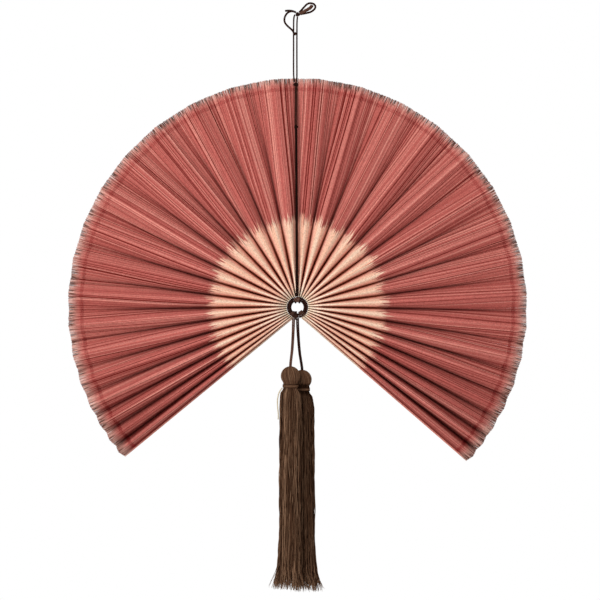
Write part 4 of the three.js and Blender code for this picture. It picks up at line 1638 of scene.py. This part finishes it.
@dataclass(frozen=True)
class Tassel:
    """A tassel of yarn folded over a wooden ball, bound at the neck, on a doubled cord.

    The shifts, painted shades and cord tones are for the left and the right tassel; the shades are
    painted shadow at the necks and over the right skirt, which hangs behind the left. Places in the
    skirt are shares of its length. waves gives for each the half waves in a skirt and their height,
    and fray the spread to the right and to the back. The lining's stations are how far below the
    neck and of what radius, and its end how far above the skirt's end and of what radius.
    """

    side: Side
    seed: int = 77
    strands: int = 430
    strand: float = 0.9
    strand_range: tuple = (0.75, 1.15)
    strand_sides: int = 4
    most_inset: float = 0.2
    stations: int = 36
    station_power: float = 1.25
    head_radius: float = 14.35
    neck_radius: float = 10.8
    neck_height: float = 4.8
    shoulder: float = 0.035
    half_width: float = 16.0
    half_depth: float = 13.4
    end_half_width: float = 21.5
    end_half_depth: float = 11.0
    lean: float = 4.0
    flare_power: float = 8.0
    shifts: tuple = (0.8, 3.2)
    shift_to: float = 0.12
    innermost: float = 0.3
    crowding: float = 0.75
    clumps: int = 13
    clumping: float = 0.22
    clump_to: float = 0.25
    longest_cut: float = 26.0
    cut_shape: tuple = (1.2, 2.4)
    uncut_reach: float = 2.0
    waves: tuple = ((3.1, 0.9), (7.7, 0.5), (17.0, 0.32))
    wave_range: tuple = (0.7, 1.3)
    wave_to: float = 0.125
    fray: tuple = (5.0, 3.0)
    fray_from: float = 0.86
    fray_power: float = 1.5
    taper: float = 0.55
    taper_from: float = 0.93
    tone_rough: float = 0.26
    tone_clump: float = 0.24
    clump_pace: float = 5.3
    # Painted shade: the right skirt, which hangs behind the left one, is darker.
    strand_shades: tuple = (0.02, -0.05)
    light_strands: float = 0.035
    light_step: float = 0.5
    # Painted shadow at each neck, under the head, and how far down the skirt it reaches.
    neck_shades: tuple = (0.12, 0.5)
    neck_shade_to: float = 9.0
    end_lighter: float = 0.16
    end_lighter_span: tuple = (0.84, 0.98)
    head_strands: int = 96
    head_sides: int = 6
    head_stations: int = 15
    neck_stations: tuple = (0.55, 0.0, -0.6)
    head_packing: float = 0.62
    head_broad: float = 1.5
    head_broad_from: float = 0.62
    head_broad_power: float = 0.8
    head_proud: float = 0.4
    head_hole: float = 2.2
    head_foot_gap: float = 0.04
    head_slant: float = 0.5
    head_wobble: float = 0.014
    head_wobble_pace: float = 3.0
    head_flatter: float = 0.8
    head_tone: float = 0.6
    head_tone_rough: float = 0.14
    head_run: float = 0.045
    # Where the painted shadow on the head starts above the neck, and over how far it grows.
    head_shade_from: float = 0.35
    head_shade_over: float = 0.3
    lining_inset: tuple = (1.5, 1.4)
    lining_top: float = 0.22
    lining_foot_gap: float = 0.05
    lining_head_stations: int = 9
    lining_waist: float = 6.0
    lining_stations: tuple = ((18.0, 12.0), (120.0, 11.5))
    lining_end: tuple = (60.0, 10.5)
    lining_corners: int = 28
    # The lining is painted dark, as the shade inside the tassel.
    lining_tone: float = 0.05
    lining_flat: float = 0.22
    lining_flat_pace: float = 12.0
    cord: float = 2.45
    cord_spread: float = 1.2
    cord_closing: float = 0.25
    cord_closing_pace: float = 1.3
    cord_aside: float = 3.1
    cord_below_wrap: float = 0.3
    cord_drop: float = 6.0
    cord_over_head: float = 7.0
    cord_end: float = 4.5
    cord_step: float = 0.6
    cord_shares: tuple = ((0.14, 0.26, 0.33), (0.46, 0.74, 0.66), (0.9, 0.98, 1.0))
    cord_tones: tuple = (0.85, 0.45)
    thread: float = 1.25
    thread_turns: int = 4
    thread_steps: int = 56
    thread_pitch: float = 0.96
    thread_groove: float = 0.12
    thread_clearance: float = 0.1
    # Painted shade: the binding's outer turns, beside the head and the skirt, are darker than its middle
    # turns.
    thread_tones: tuple = (0.12, 0.82)

    @property
    def body(self) -> str:
        """The body that the tassel rides on."""
        return f"{self.side.label}_tassel"

    def middle(self) -> np.ndarray:
        """The middle of the head, where the core is."""
        return node_middle(f"{self.body}_core")

    def neck(self) -> float:
        """The height of the middle of the neck."""
        return float(node_middle(f"{self.side.label}_neck_binding")[2])

    def end(self) -> float:
        """The height of the skirt's end."""
        return float(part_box(f"{self.body}_yarn")[0][2]) / MM

    def aside(self, depth: np.ndarray) -> np.ndarray:
        """How far the skirt's middle lies to the right of the head's: a shift, then a flare."""
        shift = self.side.pick(self.shifts) * smooth_step(depth / self.shift_to)
        return self.side.value * (shift + self.lean * np.clip(depth, 0, 1) ** self.flare_power)

    def half_sizes(self, depth: np.ndarray) -> list[np.ndarray]:
        """Half of the skirt's width and depth: the neck's radius, eased to an oval that flares.

        Args:
            depth: the share of the way down the skirt.

        Returns:
            Both.
        """
        swell = smooth_step(depth / self.shoulder)
        flare = np.clip(depth, 0, 1) ** self.flare_power
        wide = self.half_width + (self.end_half_width - self.half_width) * flare
        deep = self.half_depth + (self.end_half_depth - self.half_depth) * depth
        return [self.neck_radius + (size - self.neck_radius) * swell for size in (wide, deep)]

    def sway(self, depth: np.ndarray, chance: np.random.Generator) -> np.ndarray:
        """How far strands are from their straight way: sines that grow with the depth, then fray.

        Args:
            depth: the share of the way down the skirt, as (strand, station).
            chance: where the strands' differences come from.

        Returns:
            The ways to the right and to the back, as (2, strand, station).
        """
        shape = (2, self.strands, 1)
        sway = np.zeros((2, *depth.shape))
        for waves, size in self.waves:
            pace = waves * chance.uniform(*self.wave_range, shape)
            phase = chance.uniform(0, TURN, shape)
            sway += size * np.sin(pace * depth * math.pi + phase) * smooth_step(depth / self.wave_to)
        frayed = smooth_step((depth - self.fray_from) / (1 - self.fray_from)) ** self.fray_power
        return sway + chance.normal(0, 1, shape) * np.reshape(self.fray, (2, 1, 1)) * frayed

    def skirt_tones(
        self, clump: np.ndarray, drop: np.ndarray, depth: np.ndarray, chance: np.random.Generator
    ) -> np.ndarray:
        """How light the strands are, by strand and by clump, with painted shadow at the necks and lighter
        ends.

        Args:
            clump: each strand's clump, as an angle.
            drop: how far below the neck each station is, as (strand, station).
            depth: the same as a share of the skirt.
            chance: where the strands' differences come from.

        Returns:
            The tones as (strand, station).
        """
        tones = PLAIN_TRAIT + self.tone_rough * chance.normal(0, 1, self.strands)
        tones += self.tone_clump * np.sin(clump * self.clump_pace + self.side.value)
        lighter = chance.uniform(0, 1, self.strands) > 1 - self.light_strands
        # Painted shade on the right skirt, behind the left one.
        tones += self.side.pick(self.strand_shades) + self.light_step * lighter
        # Painted shadow below the neck.
        shade = self.side.pick(self.neck_shades) * (1 - smooth_step(drop / self.neck_shade_to))
        low, high = self.end_lighter_span
        return tones[:, None] - shade + self.end_lighter * smooth_step((depth - low) / (high - low))

    def skirt_patch(self, chance: np.random.Generator) -> Patch:
        """The hanging strands.

        A strand keeps its place in an oval section that widens below the neck and again at its end.
        Strand after strand is a golden angle further round, and its place from the middle outwards
        is a power of its number's share. It sways, and it draws to its clump's middle.

        Args:
            chance: where the strands' differences come from.

        Returns:
            One tube of four sides a strand.
        """
        start, end = self.neck() - self.neck_height / 2, self.end()
        number = np.arange(self.strands)
        place = np.sqrt((number + 0.5) / self.strands) ** self.crowding
        place = (self.innermost + (1 - self.innermost) * place)[:, None]
        turn = number * math.pi * (3 - math.sqrt(5))
        clump = np.round(turn / TURN * self.clumps) / self.clumps * TURN
        share = np.linspace(0, 1, self.stations) ** self.station_power
        cut = chance.beta(*self.cut_shape, self.strands)[:, None] * self.longest_cut
        drop = share * (start - end - cut + self.uncut_reach)
        depth = drop / (start - end)
        wide, deep = self.half_sizes(depth)
        pull = self.clumping * smooth_step(depth / self.clump_to)
        drawn = turn[:, None] + (clump - turn)[:, None] * pull
        sway = self.sway(depth, chance)
        inside = place * (1 - np.minimum(self.strand / 2 / wide, self.most_inset))
        x = self.middle()[0] + wide * inside * np.cos(drawn) + sway[0] + self.aside(depth)
        y = self.middle()[1] + deep * inside * np.sin(drawn) + sway[1]
        line = np.stack([x, y, start - drop], axis=-1)
        radius = self.strand / 2 * chance.uniform(*self.strand_range, self.strands)[:, None]
        taper = 1 - self.taper * smooth_step((share - self.taper_from) / (1 - self.taper_from))
        corner = corner_angles(self.strand_sides)
        circle = joined(np.cos(corner), np.sin(corner), 0.0)
        rings = line[:, :, None] + circle * (radius * taper)[..., None, None]
        uv = joined(number[:, None, None] + corner / TURN, drop[..., None] * MM)
        tones = self.skirt_tones(clump, drop, depth, chance)
        return skin(rings, uv, strand_traits(tones)[:, :, None, :])

    def head_patch(self, chance: np.random.Generator) -> Patch:
        """The strands folded over the ball, from the cord's hole down to the neck.

        Each follows a meridian of the ball, turned a little as it goes down, and then the neck.

        Args:
            chance: where the strands' differences come from.

        Returns:
            One flat tube of six sides a strand.
        """
        number = np.arange(self.head_strands)[:, None]
        thick = TURN * self.head_radius / self.head_strands * self.head_packing
        reach = self.head_radius - thick / 2 + self.head_proud
        hole = math.asin(self.head_hole / reach)
        foot = math.pi - math.asin(self.neck_radius / self.head_radius) - self.head_foot_gap
        more = len(self.neck_stations)
        angle = np.concatenate([np.linspace(hole, foot, self.head_stations), [foot] * more])
        radius, height = reach * np.sin(angle), reach * np.cos(angle)
        neck = self.neck() - self.middle()[2]
        radius[-more:] = self.neck_radius - thick / 2
        height[-more:] = neck + self.neck_height * np.array(self.neck_stations)
        share = np.linspace(0, 1, len(angle))
        wobble = chance.normal(0, self.head_wobble, (self.head_strands, 1))
        wobble = wobble * np.sin(self.head_wobble_pace * share)
        turn = TURN * number / self.head_strands + self.head_slant * share + wobble
        line = joined(radius * np.cos(turn), radius * np.sin(turn), height)
        ahead = unit(np.gradient(line, axis=1))
        beside = unit(np.cross(ahead, line * np.array([1, 1, self.head_flatter])))
        corner = corner_angles(self.head_sides)
        near_hole = np.minimum(1, radius / reach / self.head_broad_from) ** self.head_broad_power
        spread = thick / 2 * self.head_broad * near_hole[:, None]
        rings = carried(
            line + self.middle(), beside, np.cross(beside, ahead), spread * np.cos(corner),
            thick / 2 * np.sin(corner),
        )
        uv = joined(number[..., None] + corner / TURN, self.head_run * share[:, None])
        # Painted shadow on the head's strands as they near the neck.
        near_foot = smooth_step((angle - foot + self.head_shade_from) / self.head_shade_over)
        shade = self.side.pick(self.neck_shades) * near_foot
        tones = self.head_tone + self.head_tone_rough * chance.normal(0, 1, (self.head_strands, 1))
        return skin(rings, uv, strand_traits(tones - shade)[:, :, None, :])

    def lining_patch(self) -> Patch:
        """The bundle under the outer strands, dark as painted shade: a turned profile narrowing at both ends.

        Returns:
            One tube with flat ends.
        """
        middle, neck, end = self.middle(), self.neck(), self.end()
        reach, waist = self.head_radius - self.lining_inset[0], self.neck_radius - self.lining_inset[1]
        foot = math.pi - math.asin(waist / reach) - self.lining_foot_gap
        angle = np.linspace(self.lining_top, foot, self.lining_head_stations)
        below, widths = np.transpose([(0.0, waist), (self.lining_waist, waist), *self.lining_stations])
        above, narrow = self.lining_end
        heights = np.array([*middle[2] + reach * np.cos(angle), *neck - below, end + above])
        radii = np.array([*reach * np.sin(angle), *widths, narrow])[:, None]
        drop = np.clip((neck - heights) / (neck - end), 0, 1)[:, None]
        heights = heights[:, None]
        turn = corner_angles(self.lining_corners)
        flat = 1 - self.lining_flat * smooth_step(drop * self.lining_flat_pace)
        x = middle[0] + self.aside(drop) + radii * np.cos(turn)
        rings = joined(x, middle[1] + radii * flat * np.sin(turn), heights)
        uv = joined(np.arange(self.lining_corners) / 2, -heights * MM)
        return skin(rings[None], uv[None], strand_traits(self.lining_tone))

    def cord_lines(self) -> list[np.ndarray]:
        """The two strands of the tassel's cord, from the lashing to the middle of the head.

        Returns:
            The points of each.
        """
        wrap, half, head = node_middle("hitch_wrap"), node_half_size("hitch_wrap"), self.middle()
        aside = np.array([self.side.value * self.cord_aside, 0, 0])
        top = wrap + aside - UP * (half[2] + self.cord_below_wrap)
        hole = head + UP * self.head_radius
        upper, lower, last = (top + (hole - top) * share for share in self.cord_shares)
        over = last + UP * self.cord_over_head
        end = head + UP * self.cord_end
        line = through([top, top - UP * self.cord_drop, upper, lower, over, hole + UP, end], self.cord_step)
        closing = self.cord_closing * smooth_step(np.linspace(0, self.cord_closing_pace, len(line)))
        apart = (self.cord_spread - closing)[:, None] * np.array([1.0, 0, 0])
        return [line - apart, line + apart]

    def build_cord(self, palette: Palette) -> list[bpy.types.Object]:
        """Args:
            palette: the materials.

        Returns:
            The pieces.
        """
        pieces = []
        for name, line in zip(("a", "b"), self.cord_lines()):
            patch = Rope(self.cord).patch(line, FRONT, self.side.pick(self.cord_tones))
            node = f"{self.body}_cord"
            piece = dressed_piece(
                f"{node}_strand_{name}", [patch], palette.cord, self.body, node
            )
            pieces.append(piece)
        return pieces

    def build_binding(self, palette: Palette) -> bpy.types.Object:
        """Makes the coil of thread round the neck, lighter in its middle turns, with painted shade on the
        outer ones.

        Args:
            palette: the materials.

        Returns:
            The piece.
        """
        around = np.linspace(0, TURN * self.thread_turns, self.thread_steps * self.thread_turns)
        outward = joined(np.cos(around), np.sin(around), 0.0)
        rise = (around / TURN - self.thread_turns / 2) * self.thread * self.thread_pitch
        centre = self.middle() * [1, 1, 0] + UP * self.neck()
        reach = self.neck_radius + self.thread / 2 + self.thread_clearance
        line = centre + outward * reach + rise[:, None] * UP
        # Painted shade on the outer turns, where they meet the head and the skirt.
        dark, light = self.thread_tones
        tones = light + (dark - light) * np.abs(2 * around / around[-1] - 1)
        patch = Rope(self.thread, groove=self.thread_groove).patch(line, outward, tones)
        label = self.side.label
        return dressed_piece(
            f"{label}_neck_thread", [patch], palette.yarn, self.body,
            f"{label}_neck_binding",
        )

    def build(self, palette: Palette) -> list[bpy.types.Object]:
        """Makes the whole tassel, and gives the frame's core its wood.

        Args:
            palette: the materials.

        Returns:
            The pieces.
        """
        chance = np.random.default_rng([self.seed, self.side is Side.RIGHT])
        patches = {
            "skirt": [self.skirt_patch(chance)],
            "head": [self.head_patch(chance), self.lining_patch()],
        }
        yarn = [
            dressed_piece(
                f"{self.body}_{name}", parts, palette.yarn, self.body, f"{self.body}_yarn"
            )
            for name, parts in patches.items()
        ]
        core = bpy.data.objects[f"{self.body}_core"]
        core.data.materials.clear()
        core.data.materials.append(palette.wood)
        return [*yarn, self.build_binding(palette), *self.build_cord(palette)]


@dataclass(frozen=True)
class LooseThread:
    """A pale thread end that has come loose at the left tassel's neck."""

    thickness: float = 2.0
    tone: float = 0.6
    step: float = 0.7
    route: tuple = (
        (-19.8, -30.0, -565.0), (-22.4, -30.0, -568.5), (-25.2, -29.8, -574.0), (-26.9, -29.4, -583.0),
        (-26.9, -29.2, -592.0), (-26.2, -29.2, -600.0), (-25.6, -29.2, -607.0), (-26.0, -29.2, -613.0),
    )

    def build(self, palette: Palette) -> bpy.types.Object:
        """Makes the thread.

        Args:
            palette: the materials.

        Returns:
            The piece.
        """
        rope = Rope(self.thickness, plies=2, corners=8)
        patch = rope.patch(through(self.route, self.step), FRONT, self.tone)
        return dressed_piece(
            "loose_pale_thread", [patch], palette.pale_thread, "left_tassel"
        )


@dataclass(frozen=True)
class Lamp:
    """A square soft lamp. Its place and size are in metres and its power in watts."""

    name: str
    place: tuple
    size: float
    power: float

    def build(self, aim: np.ndarray) -> bpy.types.Object:
        """Makes the lamp.

        Args:
            aim: what it faces, in metres.

        Returns:
            The lamp.
        """
        data = bpy.data.lights.new(self.name, "AREA")
        data.size, data.energy = self.size, self.power
        lamp = bpy.data.objects.new(self.name, data)
        lamp.location = self.place
        away = aim - np.array(self.place)
        spin = math.atan2(away[0], away[1])
        tilt = math.atan2(-away[2], math.hypot(away[0], away[1]))
        lamp.rotation_euler = (math.pi / 2 - tilt, 0, -spin)
        bpy.context.scene.collection.objects.link(lamp)
        return lamp


@dataclass(frozen=True)
class Studio:
    """The plain white room: floor, soft lamps and a camera straight in front of the fan.

    The floor's radius, where its fading starts, and the camera's clipping are metres.
    """

    picture_width: float = 916.8
    picture_middle: tuple = (7.2, 0.0, -431.7)
    distance: float = 4200.0
    sensor: float = 36.0
    clipping: tuple = (0.05, 60.0)
    floor_drop: float = 1180.0
    floor_radius: float = 1.7
    floor_fade_from: float = 0.7
    floor_colour: tuple = (0.86, 0.86, 0.86, 1)
    floor_roughness: float = 0.9
    floor_corners: int = 64
    ambient: float = 0.68
    lamps: tuple = (
        Lamp("key_lamp", place=(-1.1, -2.9, 1.5), size=2.0, power=40.0),
        Lamp("fill_lamp", place=(-1.7, -2.3, -1.0), size=1.8, power=42.0),
    )

    def camera(self) -> bpy.types.Object:
        """Makes a long-lens camera that holds the picture's width at the plane of the fan.

        Returns:
            The camera.
        """
        data = bpy.data.cameras.new("front_camera")
        data.sensor_width = self.sensor
        data.lens = self.sensor * self.distance / self.picture_width
        data.clip_start, data.clip_end = self.clipping
        camera = bpy.data.objects.new("front_camera", data)
        camera.location = (np.array(self.picture_middle) + FRONT * self.distance) * MM
        camera.rotation_euler = (math.pi / 2, 0, 0)
        bpy.context.scene.collection.objects.link(camera)
        bpy.context.scene.camera = camera
        return camera

    def floor_finish(self) -> bpy.types.Material:
        """Makes the floor's material, which turns clear towards the floor's edge.

        Returns:
            The material.
        """
        material = bpy.data.materials.new("pale_floor")
        material.use_nodes = True
        nodes = Tree(material.node_tree)
        shader = nodes.tree.nodes["Principled BSDF"]
        shader.inputs["Base Color"].default_value = self.floor_colour
        shader.inputs["Roughness"].default_value = self.floor_roughness
        place = nodes.add("ShaderNodeTexCoord").outputs["Object"]
        flat = nodes.add("ShaderNodeVectorMath", {0: place, 1: (1, 1, 0)}, operation="MULTIPLY")
        reach = nodes.add("ShaderNodeVectorMath", {0: flat.outputs[0]}, operation="LENGTH")
        fade = nodes.span(reach.outputs["Value"], self.floor_fade_from, self.floor_radius)
        clear = nodes.add("ShaderNodeBsdfTransparent")
        sources = {0: fade, 1: shader.outputs[0], 2: clear.outputs[0]}
        mixed = nodes.add("ShaderNodeMixShader", sources)
        nodes.wire(mixed.outputs[0], nodes.tree.nodes["Material Output"].inputs["Surface"])
        return material

    def floor(self) -> bpy.types.Object:
        """Makes a round pale floor below the fan, which fades out before it reaches the picture.

        Returns:
            The floor.
        """
        turn = corner_angles(self.floor_corners)
        edge = self.floor_radius * joined(np.cos(turn), np.sin(turn), 0.0) - UP * self.floor_drop * MM
        mesh = bpy.data.meshes.new("floor")
        mesh.from_pydata(edge.tolist(), [], [list(range(self.floor_corners))])
        mesh.materials.append(self.floor_finish())
        floor = bpy.data.objects.new("floor", mesh)
        bpy.context.scene.collection.objects.link(floor)
        return floor

    def world(self) -> None:
        """Makes a world that is white to the camera, in gloss and through glass, and grey as light."""
        world = bpy.data.worlds.new("white_room")
        world.use_nodes = True
        nodes = Tree(world.node_tree)
        background = nodes.tree.nodes["Background"]
        rays = nodes.add("ShaderNodeLightPath").outputs
        either = nodes.maths("MAXIMUM", rays["Is Glossy Ray"], rays["Is Transmission Ray"])
        seen = nodes.maths("MAXIMUM", rays["Is Camera Ray"], either)
        nodes.wire(nodes.span(seen, 0.0, 1.0, self.ambient, 1.0), background.inputs["Strength"])
        background.inputs["Color"].default_value = (1, 1, 1, 1)
        bpy.context.scene.world = world

    def build(self) -> None:
        """Makes the room and sets the plain view transform."""
        self.camera()
        self.floor()
        self.world()
        for lamp in self.lamps:
            lamp.build(np.array(self.picture_middle) * MM)
        bpy.context.scene.view_settings.view_transform = "Standard"


def clear_start() -> None:
    """Removes what a new file holds."""
    for thing in list(bpy.data.objects):
        bpy.data.objects.remove(thing)


def main() -> None:
    """Loads the frame, then makes the room, the cords, the ring, the tassels and the matting in turn."""
    logging.basicConfig(level=logging.INFO, format="%(name)s: %(message)s")
    clear_start()
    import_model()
    Studio().build()
    palette = Palette.mixed()
    HangingCord().build(palette)
    HubRing().build(palette)
    TasselHitch().build(palette)
    for side in Side:
        Tassel(side).build(palette)
    LooseThread().build(palette)
    plan = FoldPlan()
    matting = Matting(plan)
    for side in Side:
        for pleat in range(1, plan.pleats + 1):
            for half in Half:
                matting.half_pleat(side, pleat, half, palette)
        EdgeSlat(plan).build(side, palette)


if __name__ == "__main__":
    main()
